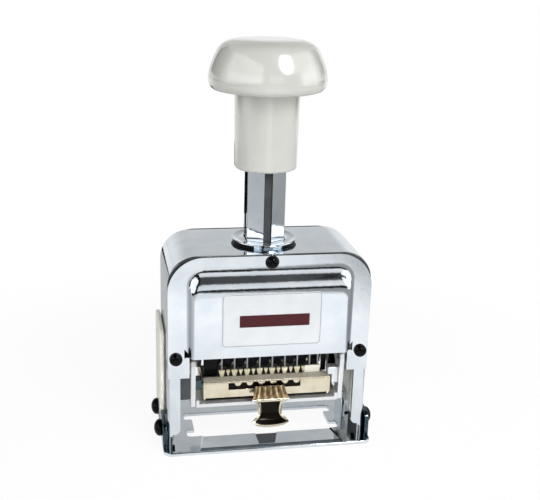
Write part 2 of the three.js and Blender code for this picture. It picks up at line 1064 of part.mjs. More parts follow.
// Handle sleeve: a tapered moulded sleeve with a socket for the tube.
function handleSleeve() {
  const profile = [
    [0, sleeveBottom],
    [sleeveBottomRadius - sleeveEdge, sleeveBottom],
    ...arc(
      sleeveBottomRadius - sleeveEdge,
      sleeveBottom + sleeveEdge,
      sleeveEdge,
      -90,
      0,
      domeSteps,
    ),
    [sleeveTopRadius, sleeveTop],
    [0, sleeveTop],
  ];
  const socket = prismZ(
    hexagon(tubeAcrossFlats + 2 * slideGap, tubeCorner),
    sleeveBottom - overrun,
    tubeTop + fitGap,
  );
  const bore = turned(
    rod(tubeAcrossFlats / 2 + slideGap, tubeTop, sleeveTop + overrun),
    roundSides,
  );
  return cut(turned(profile, roundSides), socket, bore);
}

// Knob: a mushroom cap whose outline is a smooth curve through a few radii.
function knobCap() {
  const height = knobTop - sleeveTop;
  const rim = new THREE.CatmullRomCurve3(
    [
      [knobFloorRadius, 0],
      [knobRadius * knobLowShare, height * knobLowHeightShare],
      [knobRadius, knobRimHeight],
      [knobRadius * knobShoulderShare, height * knobShoulderHeightShare],
      [knobWaistRadius, knobWaistHeight],
      [knobRadius * knobBrowShare, height * knobBrowHeightShare],
      [knobCrownRadius, height * knobCrownHeightShare],
      [0, height],
    ].map(([r, h]) => new THREE.Vector3(r, h, 0)),
    false,
    "centripetal",
  );
  const steps = 15;
  const profile = [[0, sleeveTop]];
  for (let i = 0; i <= steps; i++) {
    const at = rim.getPoint(i / steps);
    profile.push([at.x, sleeveTop + at.y]);
  }
  profile[profile.length - 1][0] = 0;
  const recess = turned(
    rod(tubeAcrossFlats / 2 + slideGap, sleeveTop - overrun, sleeveTop + fitGap),
    roundSides,
  );
  return cut(turned(profile, roundSides), recess);
}

// Return spring: a helix of round wire with straight ends, as one closed tube.
function returnSpring() {
  const bottom = crossPinZ + crossPinRadius + fitGap;
  const top = tubeTop - plugHeight - fitGap;
  const sides = 5;
  const stepsPerCurl = 8;
  const steps = springCurls * stepsPerCurl;
  const wire = springWire / 2;
  const rise = (top - bottom - springWire) / steps;
  const turnStep = (2 * Math.PI) / stepsPerCurl;
  const tilt = Math.atan(rise / (springRadius * turnStep));
  const rings = [];
  for (let k = 0; k <= steps; k++) {
    const angle = k * turnStep;
    const middle = bottom + wire + k * rise;
    const ring = [];
    for (let j = 0; j < sides; j++) {
      const around = (2 * Math.PI * j) / sides;
      const radius = springRadius + wire * Math.cos(around);
      const up = wire * Math.sin(around);
      const back = up * Math.sin(tilt);
      ring.push([
        radius * Math.cos(angle) + back * Math.sin(angle),
        radius * Math.sin(angle) - back * Math.cos(angle),
        middle + up * Math.cos(tilt),
      ]);
    }
    rings.push(ring);
  }
  const gap = rise * stepsPerCurl - springWire;
  console.log("return spring: least gap between curls " + gap.toFixed(2));
  return loft(rings);
}

const stack = {
  ratchetX: stackOffset + (wheelCount / 2) * wheelPitch,
  inner: plateOuter - plateSheet,
};
const wheelX = (i) => stackOffset + (i - wheelCount / 2) * wheelPitch;

function carriageBridge() {
  const slab = block(
    -plateOuter,
    plateOuter,
    -plateHalfDepth + overrun,
    plateHalfDepth - overrun,
    bridgeTop - bridgeThickness,
    bridgeTop,
  );
  const bore = turned(
    rod(tubeBore / 2, bridgeTop - bridgeThickness - overrun, bridgeTop + overrun),
    roundSides,
  );
  return cut(slab, bore);
}

// Carriage plate: it hangs from the bridge and holds the axle and the cam pin.
function carriagePlate(side) {
  const outline = [
    [-plateEndRadius, bridgeTop - bridgeThickness],
    ...arc(0, axleZ, plateEndRadius, 180, 360, 2 * arcSteps),
    [plateEndRadius, camPinZ - plateEndRadius / 2],
    [plateHalfDepth, camPinZ],
    [plateHalfDepth, bridgeTop - bridgeThickness],
  ];
  const body = prismX(outline, ...stretch(side, stack.inner, plateOuter));
  const through = (radius, y, z) =>
    turnedX(
      rod(radius + slideGap, -overrun, plateSheet + overrun),
      smallSides,
      side,
      stack.inner,
      y,
      z,
    );
  return cut(body, through(axleRadius, 0, axleZ), through(camPinRadius, camPinY, camPinZ));
}

// Axle with a head outside each carriage plate.
function wheelAxle() {
  const reach = plateOuter + fitGap;
  const end = reach + axleHeadThickness;
  const profile = [
    [0, -end],
    [axleHeadRadius, -end],
    [axleHeadRadius, -reach],
    [axleRadius, -reach],
    [axleRadius, reach],
    [axleHeadRadius, reach],
    [axleHeadRadius, end],
    [0, end],
  ];
  return turnedX(profile, smallSides, 1, 0, 0, axleZ);
}

function camPin(side) {
  return turnedX(
    rod(camPinRadius, 0, camPinLength),
    smallSides,
    side,
    stack.inner,
    camPinY,
    camPinZ,
  );
}

// Points of a wheel's type ring: ten flat faces with a groove between each two.
function typeOutline() {
  const digits = 10;
  const faceHalf = wheelFaceHeight / 2;
  const face = Math.sqrt(wheelRadius ** 2 - faceHalf ** 2);
  const faceAngle = Math.atan2(faceHalf, face);
  const step = (2 * Math.PI) / digits;
  const groove = (step / 2 - faceAngle) * grooveShare;
  const points = [];
  for (let k = 0; k < digits; k++) {
    const at = k * step - Math.PI / 2;
    points.push(
      [wheelRootRadius, at - step / 2 + groove],
      [wheelRadius, at - faceAngle],
      [wheelRadius, at + faceAngle],
      [wheelRootRadius, at + step / 2 - groove],
    );
  }
  return points.map(([r, a]) => [r * Math.cos(a), axleZ + r * Math.sin(a)]);
}

// Points of a ratchet: saw teeth, one for each digit.
function ratchetOutline(tip, rootRadius) {
  const teeth = 10;
  const step = (2 * Math.PI) / teeth;
  const points = [];
  for (let k = 0; k < teeth; k++) {
    const at = k * step;
    points.push([tip, at]);
    points.push([rootRadius, at + step * ratchetBackShare]);
  }
  return points.map(([r, a]) => [r * Math.cos(a), axleZ + r * Math.sin(a)]);
}

function axleBore(x0, x1) {
  return turnedX(
    rod(axleRadius + slideGap, x0 - overrun, x1 + overrun),
    smallSides,
    1,
    0,
    0,
    axleZ,
  );
}

function numberWheel(i) {
  const left = wheelX(i) - (wheelTypeWidth + ratchetWidth) / 2;
  const type = prismX(typeOutline(), left, left + wheelTypeWidth);
  const ratchet = prismX(
    ratchetOutline(ratchetTipRadius, ratchetRootRadius),
    left + wheelTypeWidth / 2,
    left + wheelTypeWidth + ratchetWidth,
  );
  return cut(join(type, ratchet), axleBore(left, left + wheelTypeWidth + ratchetWidth));
}

// Drive ratchet: the toothed disc beside the units wheel.
function driveRatchet() {
  const left = stack.ratchetX - wheelTypeWidth / 2;
  const right = left + wheelTypeWidth;
  const body = prismX(ratchetOutline(wheelRadius, wheelRootRadius), left, right);
  return cut(body, axleBore(left, right));
}

function axleSpacer() {
  const left = -(stack.inner - fitGap - pawlPlateSheet - fitGap);
  const right = wheelX(0) - (wheelTypeWidth + ratchetWidth) / 2 - fitGap;
  const body = turnedX(rod(axleHeadRadius, left, right), smallSides, 1, 0, 0, axleZ);
  return cut(body, axleBore(left, right));
}

// Comb of sprung wires, one on each wheel and one on the drive ratchet.
function detentComb() {
  const front = -combY - combWireThickness;
  const reach = stack.inner - slideGap;
  const bar = block(
    -reach,
    reach,
    front + combWireThickness - combBarThickness,
    front + combWireThickness,
    combBarBottom,
    combBarBottom + combBarHeight,
  );
  const wires = [];
  for (let i = 0; i <= wheelCount; i++) {
    const centre = wheelX(i) - ratchetWidth / 2;
    const outline = [
      [front, combBarBottom + combBend],
      [front, combTip + combBend],
      [front + combWireThickness, combTip],
      [front + 2 * combWireThickness, combTip],
      [front + combWireThickness, combTip + combBend],
      [front + combWireThickness, combBarBottom + combBend],
    ];
    wires.push(prismX(outline, centre - combWireWidth / 2, centre + combWireWidth / 2));
  }
  return join(bar, ...wires);
}

function polar(radius, angle) {
  return [radius * Math.cos(angle * degree), axleZ + radius * Math.sin(angle * degree)];
}

// Stepped pawl: a bar behind the wheels with a tooth for each ratchet.
function steppedPawl() {
  const spread = (pawlBarThickness / 2 / pawlBarInner) * (180 / Math.PI);
  const reach = stack.inner - 2 * fitGap - pawlPlateSheet;
  const barOutline = [
    polar(pawlBarInner, pawlAngleDegrees - spread),
    polar(pawlBarOuter, pawlAngleDegrees - spread),
    polar(pawlBarOuter, pawlAngleDegrees + spread),
    polar(pawlBarInner, pawlAngleDegrees + spread),
  ];
  const bar = prismX(barOutline, -reach, reach);
  const toothSpread = (pawlToothThickness / 2 / pawlToothRadius) * (180 / Math.PI);
  const toothOutline = [
    polar(pawlToothRadius, pawlAngleDegrees),
    polar(pawlBarOuter, pawlAngleDegrees - toothSpread),
    polar(pawlBarOuter, pawlAngleDegrees + toothSpread),
    polar(pawlToothRadius, pawlAngleDegrees + toothSpread),
  ];
  const teeth = [];
  for (let i = 0; i < wheelCount; i++) {
    const middle = wheelX(i) + (wheelPitch - ratchetWidth) / 2;
    teeth.push(
      prismX(toothOutline, middle - pawlToothWidth / 2, middle + pawlToothWidth / 2),
    );
  }
  return join(bar, ...teeth);
}

function pawlPlate(side) {
  const spread = (pawlBarThickness / pawlBarInner) * (180 / Math.PI);
  const outline = [
    ...arc(
      0,
      axleZ,
      pawlHubRadius,
      pawlAngleDegrees + 90,
      pawlAngleDegrees + 270,
      2 * arcSteps,
    ),
    polar(pawlBarOuter, pawlAngleDegrees - spread),
    polar(pawlBarOuter, pawlAngleDegrees + spread),
  ];
  const outer = stack.inner - fitGap;
  const body = prismX(outline, ...stretch(side, outer - pawlPlateSheet, outer));
  return cut(body, axleBore(-plateOuter, plateOuter));
}

// Outline of a band of the given half width round a path, with round ends.
function bandOutline(path, radius) {
  const headings = path.map((at, i) => {
    const before = path[Math.max(i - 1, 0)];
    const after = path[Math.min(i + 1, path.length - 1)];
    return Math.atan2(after[1] - before[1], after[0] - before[0]) / degree;
  });
  const edge = (turn) =>
    path.map(([a, b], i) => {
      const angle = (headings[i] + turn) * degree;
      return [a + radius * Math.cos(angle), b + radius * Math.sin(angle)];
    });
  const last = path.length - 1;
  const cap = (i, from) => arc(...path[i], radius, from, from + 180).slice(1, -1);
  return [
    ...edge(-90),
    ...cap(last, headings[last] - 90),
    ...edge(90).reverse(),
    ...cap(0, headings[0] + 90),
  ];
}

// Swing arm: a bell crank on its pivot, with a cam slot above and the tray's seat below.
// The slot is the path that the cam pin draws on the arm while the plunger goes down.
function padArm(side) {
  const slotSteps = 8;
  const path = [];
  for (let i = 0; i <= slotSteps; i++) {
    const share = i / slotSteps;
    const y = camPinY - padPivotY;
    const z = camPinZ - strokeLength * share - axleZ;
    const angle = padSwingDegrees * degree * share;
    path.push([
      padPivotY + y * Math.cos(angle) - z * Math.sin(angle),
      axleZ + y * Math.sin(angle) + z * Math.cos(angle),
    ]);
  }
  const sheet = stretch(side, armInner, armInner + armSheet);
  const deep = stretch(side, armInner - overrun, armInner + armSheet + overrun);
  const slotRadius = camPinRadius + fitGap;
  const top = path[slotSteps];
  const rim = prismX(bandOutline([path[0], top], slotRadius + armEdge), ...sheet);
  const slot = prismX(bandOutline(path, slotRadius), ...deep);
  const web = prismX(
    [
      [padPivotY - armBossRadius, axleZ],
      [-trayFront, trayBottom],
      [padPivotY + armBossRadius, trayBottom],
      [padPivotY + armBossRadius, axleZ - armBossRadius],
      [path[0][0], path[0][1] - slotRadius - armEdge],
      [top[0], top[1] - slotRadius],
      [padPivotY, axleZ + armBossRadius],
    ],
    ...sheet,
  );
  const disc = (radius, from, to) =>
    turnedX(rod(radius, from, to), smallSides, side, 0, padPivotY, axleZ);
  const boss = disc(armBossRadius, armInner, armInner + armSheet);
  const bore = disc(
    pivotRadius + slideGap,
    armInner - overrun,
    armInner + armSheet + overrun,
  );
  return cut(join(web, boss, rim), bore, slot);
}

// Pad tray: a plate between the two arms that carries the pad case.
function padTray() {
  const floor = block(
    -trayHalfWidth,
    trayHalfWidth,
    -trayFront - trayLip,
    trayRear,
    trayBottom,
    trayBottom + traySheet,
  );
  const walls = [-1, 1].map((side) =>
    block(
      ...stretch(side, trayHalfWidth - trayRim, trayHalfWidth),
      -trayFront - trayLip,
      trayRear,
      trayBottom,
      trayBottom + trayRimHeight,
    ),
  );
  return join(floor, ...walls);
}

const caseBottom = trayBottom + traySheet + fitGap;

// Pad case: an open brass box with a high front wall, stepped back at the bottom of the front.
function padCase() {
  const rear = trayRear - fitGap;
  const box = block(-caseHalfWidth, caseHalfWidth, -trayFront, rear, caseBottom, caseWallTop);
  const lip = block(
    -caseHalfWidth,
    caseHalfWidth,
    -trayFront,
    caseSheet - trayFront,
    caseBottom,
    caseLip,
  );
  const hollow = block(
    caseSheet - caseHalfWidth,
    caseHalfWidth - caseSheet,
    caseSheet - trayFront,
    rear - caseSheet,
    caseBottom + caseFloor,
    caseLip + overrun,
  );
  const recess = block(
    -half.width,
    half.width,
    -trayFront - overrun,
    caseRecess - trayFront,
    caseBottom - overrun,
    caseBottom + caseRecessHeight,
  );
  return cut(join(box, lip), hollow, recess);
}

function inkPad() {
  return block(
    caseSheet - caseHalfWidth + fitGap,
    caseHalfWidth - caseSheet - fitGap,
    caseSheet - trayFront + fitGap,
    trayRear - fitGap - caseSheet - fitGap,
    caseBottom + caseFloor,
    padTop,
  );
}

function mix(a, b, share) {
  return a + (b - a) * share;
}

// Finger tab: a bent brass strip that flares at its shoulder, its ridge and its lower lip.
function fingerTab() {
  const rings = tabLevelShares.map(([downShare, topShare, lipShare, reachShare]) => {
    const z = mix(tabTop, tabLip, downShare);
    const flare = (tabTopHalfWidth - tabWaistHalfWidth) * topShare;
    const lip = (tabLipHalfWidth - tabWaistHalfWidth) * lipShare;
    const w = tabWaistHalfWidth + flare + lip;
    const front = -trayFront - tabSheet - tabReach * reachShare;
    const rear = front + tabSheet;
    return [
      [tabOffset - w, front, z],
      [tabOffset + w, front, z],
      [tabOffset + w, rear, z],
      [tabOffset - w, rear, z],
    ];
  });
  const seat = block(
    tabOffset - tabWaistHalfWidth,
    tabOffset + tabWaistHalfWidth,
    -trayFront - tabReach,
    -trayFront,
    caseBottom + caseRecessHeight,
    tabTop - tabSheet,
  );
  return join(loft(rings), seat);
}

const root = new THREE.Group();
const put = (name, body, material) => root.add(piece(name, body, material));

put("frame_shell", frameShell(), chrome);
put("front_cover", frontCover(), chrome);
put("rear_cover", rearCover(), chrome);
put("base_foot", baseFoot(), chrome);
put("guide_collar", guideCollar(), chrome);
put("cross_pin", crossPin(), steel);
put("return_spring", returnSpring(), steel);
put("lock_button", lockButton(), blackSteel);
put("label_plate", labelPlate(), labelFoil);
put("plunger_tube", plungerTube(), chrome);
put("tube_plug", tubePlug(), steel);
put("handle_sleeve", handleSleeve(), ivoryPlastic);
put("knob_cap", knobCap(), ivoryPlastic);
put("carriage_bridge", carriageBridge(), steel);
put("wheel_axle", wheelAxle(), steel);
put("axle_spacer", axleSpacer(), steel);
put("detent_comb", detentComb(), steel);
put("drive_ratchet", driveRatchet(), brass);
put("stepped_pawl", steppedPawl(), steel);
put("pad_tray", padTray(), chrome);
put("pad_case", padCase(), brass);
put("ink_pad", inkPad(), feltInk);
put("finger_tab", fingerTab(), brass);
for (let i = 0; i < wheelCount; i++) {
  put("number_wheel_" + (i + 1), numberWheel(i), brass);
}
for (const [side, word] of [
  [-1, "left"],
  [1, "right"],
]) {
  put("side_cover_" + word, sideCover(side), creamPlastic);
  put("front_screw_" + word, coverScrew(-1, side, coverScrewZ), blackSteel);
  put("rear_screw_" + word, coverScrew(1, side, rearScrewZ), blackSteel);
  put("foot_screw_front_" + word, footScrew(side, footScrewFrontY), blackSteel);
  put("foot_screw_rear_" + word, footScrew(side, footScrewRearY), blackSteel);
  put("pad_pivot_" + word, padPivot(side), steel);
  put("carriage_plate_" + word, carriagePlate(side), steel);
  put("cam_pin_" + word, camPin(side), steel);
  put("pawl_plate_" + word, pawlPlate(side), steel);
  put("pad_arm_" + word, padArm(side), chrome);
}

export default root;
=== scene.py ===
# %% [markdown]
# This lesson dresses a plunger numbering machine: a chromed steel box with a pressed front panel, a
# glossy handle, eight brass number wheels and a brass ink pad case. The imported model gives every
# piece its place and its motion, and Blender adds the finish. Sizes below are in millimetres.

import math

import bmesh
import bpy
from mathutils import Matrix, Vector


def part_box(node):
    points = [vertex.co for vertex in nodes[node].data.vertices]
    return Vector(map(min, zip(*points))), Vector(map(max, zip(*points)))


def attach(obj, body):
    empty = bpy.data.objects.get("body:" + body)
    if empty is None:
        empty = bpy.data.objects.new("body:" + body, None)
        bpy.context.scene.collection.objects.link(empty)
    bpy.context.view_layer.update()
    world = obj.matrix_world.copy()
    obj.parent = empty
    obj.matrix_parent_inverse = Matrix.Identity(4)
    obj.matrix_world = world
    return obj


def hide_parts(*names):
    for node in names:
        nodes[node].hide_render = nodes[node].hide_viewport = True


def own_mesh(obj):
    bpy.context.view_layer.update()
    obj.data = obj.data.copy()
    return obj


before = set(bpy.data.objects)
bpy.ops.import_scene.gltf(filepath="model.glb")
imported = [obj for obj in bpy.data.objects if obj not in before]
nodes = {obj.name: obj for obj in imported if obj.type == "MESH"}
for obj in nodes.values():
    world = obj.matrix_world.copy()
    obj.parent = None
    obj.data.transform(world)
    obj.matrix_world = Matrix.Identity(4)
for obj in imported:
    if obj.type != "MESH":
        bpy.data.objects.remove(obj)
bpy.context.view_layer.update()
MM = 0.001

# %% [markdown]
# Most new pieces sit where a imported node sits, so their driving sizes are read from its box. The
# helper returns the box in millimetres, and the names below are the faces that pieces share.


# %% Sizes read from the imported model
def box_mm(node):
    low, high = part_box(node)
    return low / MM, high / MM


shell_low, shell_high = box_mm("frame_shell")
cover_low = box_mm("front_cover")[0]
half_width = shell_high.x
frame_top = shell_high.z
sheet_face = shell_high.y
cover_sheet = 0.8
cover_face = sheet_face + cover_sheet
emboss_rise = -cover_low.y - cover_face
corner_radius = 10
print(f"frame {2 * half_width:.1f} wide, top at {frame_top:.1f}, emboss {emboss_rise:.1f} proud")

# %% [markdown]
# The photograph was taken from slightly left of the front and above, with the camera rolled a
# little. A product photograph on white is lit by large soft lights, and chrome shows whatever
# stands round it. So the studio has graded surroundings, soft lamps, and black cards that draw the
# dark lines along the bends of the chrome.

# %% Camera
camera_place = Vector((-54.19, -293.23, 160.40)) * MM
camera_target = Vector((2.93, 3.00, 64.45)) * MM
camera_roll = 1.67
camera_lens = 60.32


def aim(direction, roll=0.0):
    turn = direction.to_track_quat("-Z", "Y").to_matrix().to_4x4()
    return turn @ Matrix.Rotation(math.radians(roll), 4, "Z")


camera = bpy.data.objects.new("camera", bpy.data.cameras.new("camera"))
camera.data.sensor_width = 36
camera.data.lens = camera_lens
camera.data.clip_start = 0.01
camera.matrix_world = aim(camera_target - camera_place, camera_roll)
camera.location = camera_place
bpy.context.scene.collection.objects.link(camera)
bpy.context.scene.camera = camera
bpy.context.scene.view_settings.view_transform = "Standard"
print("camera", (camera_target - camera_place).length, "m from its target")

# %% [markdown]
# Colours are written as sRGB hex values, as a paint chart gives them, and one function turns them
# to the linear values that the shaders need. Materials are node trees: one small function adds a
# node, sets its values by name and links its inputs.


# %% Colour and node helpers
def srgb(code):
    channels = [int(code[i : i + 2], 16) / 255 for i in (1, 3, 5)]
    linear = [c / 12.92 if c <= 0.04045 else ((c + 0.055) / 1.055) ** 2.4 for c in channels]
    return (*linear, 1.0)


def add(tree, kind, settings=None, **inputs):
    """Adds a node. settings are its own properties; inputs are values, or sockets to link."""
    node = tree.nodes.new("ShaderNode" + kind)
    for key, value in (settings or {}).items():
        setattr(node, key, value)
    for key, value in inputs.items():
        names = [s.name.replace(" ", "_") for s in node.inputs]
        by_number = key[0] == "i" and key[1:].isdigit()
        socket = node.inputs[int(key[1:]) if by_number else names.index(key)]
        if isinstance(value, bpy.types.NodeSocket):
            tree.links.new(value, socket)
        else:
            socket.default_value = value
    return node


def new_material(name):
    """A material with a Principled surface, its tree, and object-space coordinates in metres."""
    made = bpy.data.materials.new(name)
    made.use_nodes = True
    tree = made.node_tree
    surface = tree.nodes["Principled BSDF"]
    place = add(tree, "TexCoord").outputs["Object"]
    return made, tree, surface, place


def noise(tree, place, size_mm, detail=3.0, stretch=(1, 1, 1)):
    """Noise whose blotches are about size_mm across, drawn out along an axis by stretch."""
    mapped = add(tree, "Mapping", Vector=place, Scale=[1 / s for s in stretch])
    cloud = add(tree, "TexNoise", Vector=mapped.outputs[0], Scale=1 / (size_mm * MM), Detail=detail)
    return cloud.outputs["Fac"]


def ramp(tree, factor, stops):
    """A colour ramp from (position, colour) stops."""
    node = add(tree, "ValToRGB", Fac=factor)
    elements = node.color_ramp.elements
    while len(elements) < len(stops):
        elements.new(0.5)
    for element, (position, colour) in zip(elements, stops):
        element.position = position
        element.color = colour
    return node.outputs["Color"]


def grey(value):
    return (value, value, value, 1.0)


def scaled(tree, factor, low, high):
    """The factor 0 to 1 mapped to low to high."""
    return add(tree, "MapRange", Value=factor, To_Min=low, To_Max=high).outputs[0]


def between(tree, value, start, end, kind="LINEAR"):
    """0 up to start, 1 from end on, and a slope between them."""
    settings = {"interpolation_type": kind}
    return add(tree, "MapRange", settings, Value=value, From_Min=start, From_Max=end).outputs[0]


def maths(tree, operation, a, b=0.0):
    """The result of a Math node for two numbers or sockets."""
    return add(tree, "Math", {"operation": operation}, i0=a, i1=b).outputs[0]


def mixed_colour(tree, share, first, second):
    """The first colour where the share is 0, the second where it is 1."""
    return add(tree, "Mix", {"data_type": "RGBA"}, Factor=share, i6=first, i7=second).outputs[2]


def relief(tree, surface, height, depth_mm, strength=1.0):
    """Bumps as deep as depth_mm where the height goes from 0 to 1."""
    bump = add(tree, "Bump", Height=height, Strength=strength, Distance=depth_mm * MM)
    tree.links.new(bump.outputs[0], surface.inputs["Normal"])
    return bump


def link(tree, output, socket):
    tree.links.new(output, socket)


def coloured(tree, surface, factor, dark, pale, low=0.3, high=0.7):
    """The base colour wanders from dark to pale as the factor goes from low to high."""
    tint = ramp(tree, factor, [(low, srgb(dark)), (high, srgb(pale))])
    link(tree, tint, surface.inputs["Base Color"])


# %% [markdown]
# The world is plain white where the camera looks at it. In reflections it is a graded studio: in
# front of the machine a bright band a little above the horizon, and behind it bright low down and
# dark higher up. Soft light gets a dim even grey, so that pale plastic doesn't wash out.

# %% World
world = bpy.data.worlds.new("white surroundings")
bpy.context.scene.world = world
world.use_nodes = True
world_tree = world.node_tree
ambient_level = 0.36
# Elevation in degrees and how bright the surroundings are there, as the chrome sees them.
front_bands = [(-2, 0.02), (4.5, 0.02), (7, 0.95), (19, 0.8), (23, 0.08), (58, 0.03)]
back_bands = [(-2, 0.8), (4, 0.9), (10, 0.85), (17, 0.64), (30, 0.5), (45, 0.3), (60, 0.06)]


def seen_directly(tree):
    """1 for camera, mirror and glass rays, and 0 for soft light."""
    rays = add(tree, "LightPath").outputs
    either = maths(tree, "MAXIMUM", rays["Is Camera Ray"], rays["Is Glossy Ray"])
    return maths(tree, "MAXIMUM", either, rays["Is Transmission Ray"])


def studio_bands(tree):
    """The brightness of the surroundings by how high a ray goes, in front of and behind the machine."""
    axes = add(tree, "SeparateXYZ", Vector=add(tree, "TexCoord").outputs["Generated"]).outputs
    height = between(tree, axes["Z"], -1.0, 1.0)
    halves = []
    for bands in (front_bands, back_bands):
        stops = [((math.sin(math.radians(angle)) + 1) / 2, grey(level)) for angle, level in bands]
        halves.append(ramp(tree, height, stops))
    behind = between(tree, axes["Y"], -0.1, 0.2, "SMOOTHSTEP")
    return mixed_colour(tree, behind, *halves)


background = world_tree.nodes["Background"]
background.inputs["Strength"].default_value = 1.0
rays = add(world_tree, "LightPath").outputs
soft_or_mirrored = mixed_colour(
    world_tree, rays["Is Glossy Ray"], grey(ambient_level), studio_bands(world_tree)
)
open_view = maths(world_tree, "MAXIMUM", rays["Is Camera Ray"], rays["Is Transmission Ray"])
surround = mixed_colour(world_tree, open_view, soft_or_mirrored, grey(1))
link(world_tree, surround, background.inputs["Color"])
print("world ambient level", ambient_level)

# %% [markdown]
# The floor is a pale sheet. Near the machine it is ordinary matt paper and takes its shadow, and
# farther out it fades to plain white, so that no horizon shows. In the chrome it is a graded glow,
# bright in front of the machine and dim close behind it, which gives the chrome its bands.

# %% Floor
floor_half = 3.0
shadow_reach = (0.09, 0.2)
near_share, share_in_chrome = 0.9, 0.95
# How bright the floor looks in the chrome, from in front of the machine to behind it.
floor_peak = 1.3
floor_bands = [
    (-0.25, 0.95), (-0.2, 1.0), (-0.16, 1.18), (-0.12, 1.15), (-0.09, 1.02), (-0.05, 0.98),
    (-0.02, 0.9), (0.0, 0.72), (0.06, 0.5), (0.25, 0.5), (0.4, 0.95),
]
# Sideways it is darker beyond the machine's own width.
floor_sides = [(-0.5, 0.56), (-0.1, 0.56), (-0.03, 1.0), (0.062, 1.0), (0.105, 0.33), (0.5, 0.33)]


def flat_sheet(name, corners):
    data = bpy.data.meshes.new(name)
    data.from_pydata([Vector(c) for c in corners], [], [range(len(corners))])
    made = bpy.data.objects.new(name, data)
    bpy.context.scene.collection.objects.link(made)
    return made


corner_signs = ((-1, -1), (1, -1), (1, 1), (-1, 1))
floor = flat_sheet("floor", [(x * floor_half, y * floor_half, 0) for x, y in corner_signs])


def by_distance(tree, distance, bands, peak):
    """A ramp over a distance in metres, from (distance, level) bands, as a share of the peak."""
    start, end = bands[0][0], bands[-1][0]
    span = between(tree, distance, start, end)
    return ramp(tree, span, [((at - start) / (end - start), grey(level / peak)) for at, level in bands])


def floor_paper():
    made, tree, surface, place = new_material("white_floor_paper")
    coloured(tree, surface, noise(tree, place, 0.6), "#eeeeee", "#f3f3f3")
    surface.inputs["Roughness"].default_value = 0.9
    away = add(tree, "VectorMath", {"operation": "LENGTH"}, i0=place).outputs["Value"]
    fade = add(
        tree, "MapRange", {"interpolation_type": "SMOOTHSTEP"},
        Value=away, From_Min=shadow_reach[0], From_Max=shadow_reach[1], To_Min=near_share,
    )
    axes = add(tree, "SeparateXYZ", Vector=place).outputs
    along = by_distance(tree, axes["Y"], floor_bands, floor_peak)
    across = by_distance(tree, axes["X"], floor_sides, 1.0)
    in_front = between(tree, axes["Y"], 0.06, 0.0)
    aside = add(tree, "Mix", Factor=in_front, i2=1.0, i3=across).outputs[0]
    strength = maths(tree, "MULTIPLY", maths(tree, "MULTIPLY", along, aside), floor_peak)
    in_chrome = add(tree, "Emission", Color=grey(1), Strength=strength)
    plain = add(tree, "Emission", Color=grey(1), Strength=1.0)
    rays = add(tree, "LightPath").outputs
    glow = add(tree, "MixShader", i0=rays["Is Glossy Ray"], i1=plain.outputs[0], i2=in_chrome.outputs[0])
    glow_share = add(tree, "Mix", Factor=rays["Is Glossy Ray"], i2=fade.outputs[0], i3=share_in_chrome)
    share = maths(tree, "MULTIPLY", glow_share.outputs[0], seen_directly(tree))
    mixed = add(tree, "MixShader", i0=share, i1=surface.outputs[0], i2=glow.outputs[0])
    link(tree, mixed.outputs[0], tree.nodes["Material Output"].inputs["Surface"])
    return made


floor.data.materials.append(floor_paper())
print("floor", 2 * floor_half, "m square")

# %% [markdown]
# The lamps: a wall of light on each side in front, a third one straight in front that reflections
# don't show, a round key light whose small bright core makes the spot on the knob, and a narrow beam
# from low in front that fills the foot. The camera sees none of them.

# %% Lamps
def softbox(name, place, target, size, level, shape="RECTANGLE"):
    """An area lamp of the given size in metres whose face is level times as bright as white."""
    data = bpy.data.lights.new(name, "AREA")
    data.shape = shape
    data.size, data.size_y = size
    area = size[0] * size[1] * (math.pi / 4 if shape == "DISK" else 1)
    data.energy = level * area * math.pi
    made = bpy.data.objects.new(name, data)
    made.matrix_world = aim(Vector(target) - Vector(place))
    made.location = place
    made.visible_camera = False
    bpy.context.scene.collection.objects.link(made)
    return made


softbox("left_wall", (-0.66, -0.40, 0.36), (0, -0.05, 0.09), (1.15, 0.8), 1.15)
softbox("right_wall", (0.66, -0.36, 0.36), (0, -0.05, 0.09), (1.1, 0.8), 1.1)
front_wall = softbox("front_wall", (0.04, -0.98, 0.44), (0.04, 0, 0.1), (0.9, 0.42), 2.2)
front_wall.visible_glossy = False
softbox("key", (0.25, -0.42, 0.50), (0, 0, 0.125), (0.29, 0.29), 7.5, "DISK")
spark = softbox("key_core", (0.245, -0.415, 0.495), (0, 0, 0.125), (0.2, 0.2), 36, "DISK")
spark.visible_diffuse = False
low_fill = softbox("low_fill", (0.0, -0.8, 0.2), (0, -0.01, 0.008), (0.3, 0.03), 0.9)
low_fill.data.spread = math.radians(7)
low_fill.visible_glossy = False

# %% [markdown]
# Black cards: photographers put them round chrome, because a bright metal in white surroundings
# has no outline. One fills the gap between the lamps in front, one stands low at the front left,
# four stand behind at the sides, a small flag hides the key light from the chrome on top, and one
# lies on the floor behind for the dark faces of the tube. Only reflections show them.

# %% Black cards
def card_black():
    made, tree, surface, place = new_material("black_card")
    coloured(tree, surface, noise(tree, place, 20), "#0c0c0e", "#141416")
    surface.inputs["Roughness"].default_value = 0.95
    surface.inputs["Specular IOR Level"].default_value = 0.1
    return made


black_card = card_black()


def hang_card(name, corners):
    made = flat_sheet(name, corners)
    made.data.materials.append(black_card)
    made.visible_camera = False
    made.visible_diffuse = False
    made.visible_shadow = False
    return made


def upright_card(name, a, b, low, high):
    hang_card(name, [(*a, low), (*b, low), (*b, high), (*a, high)])


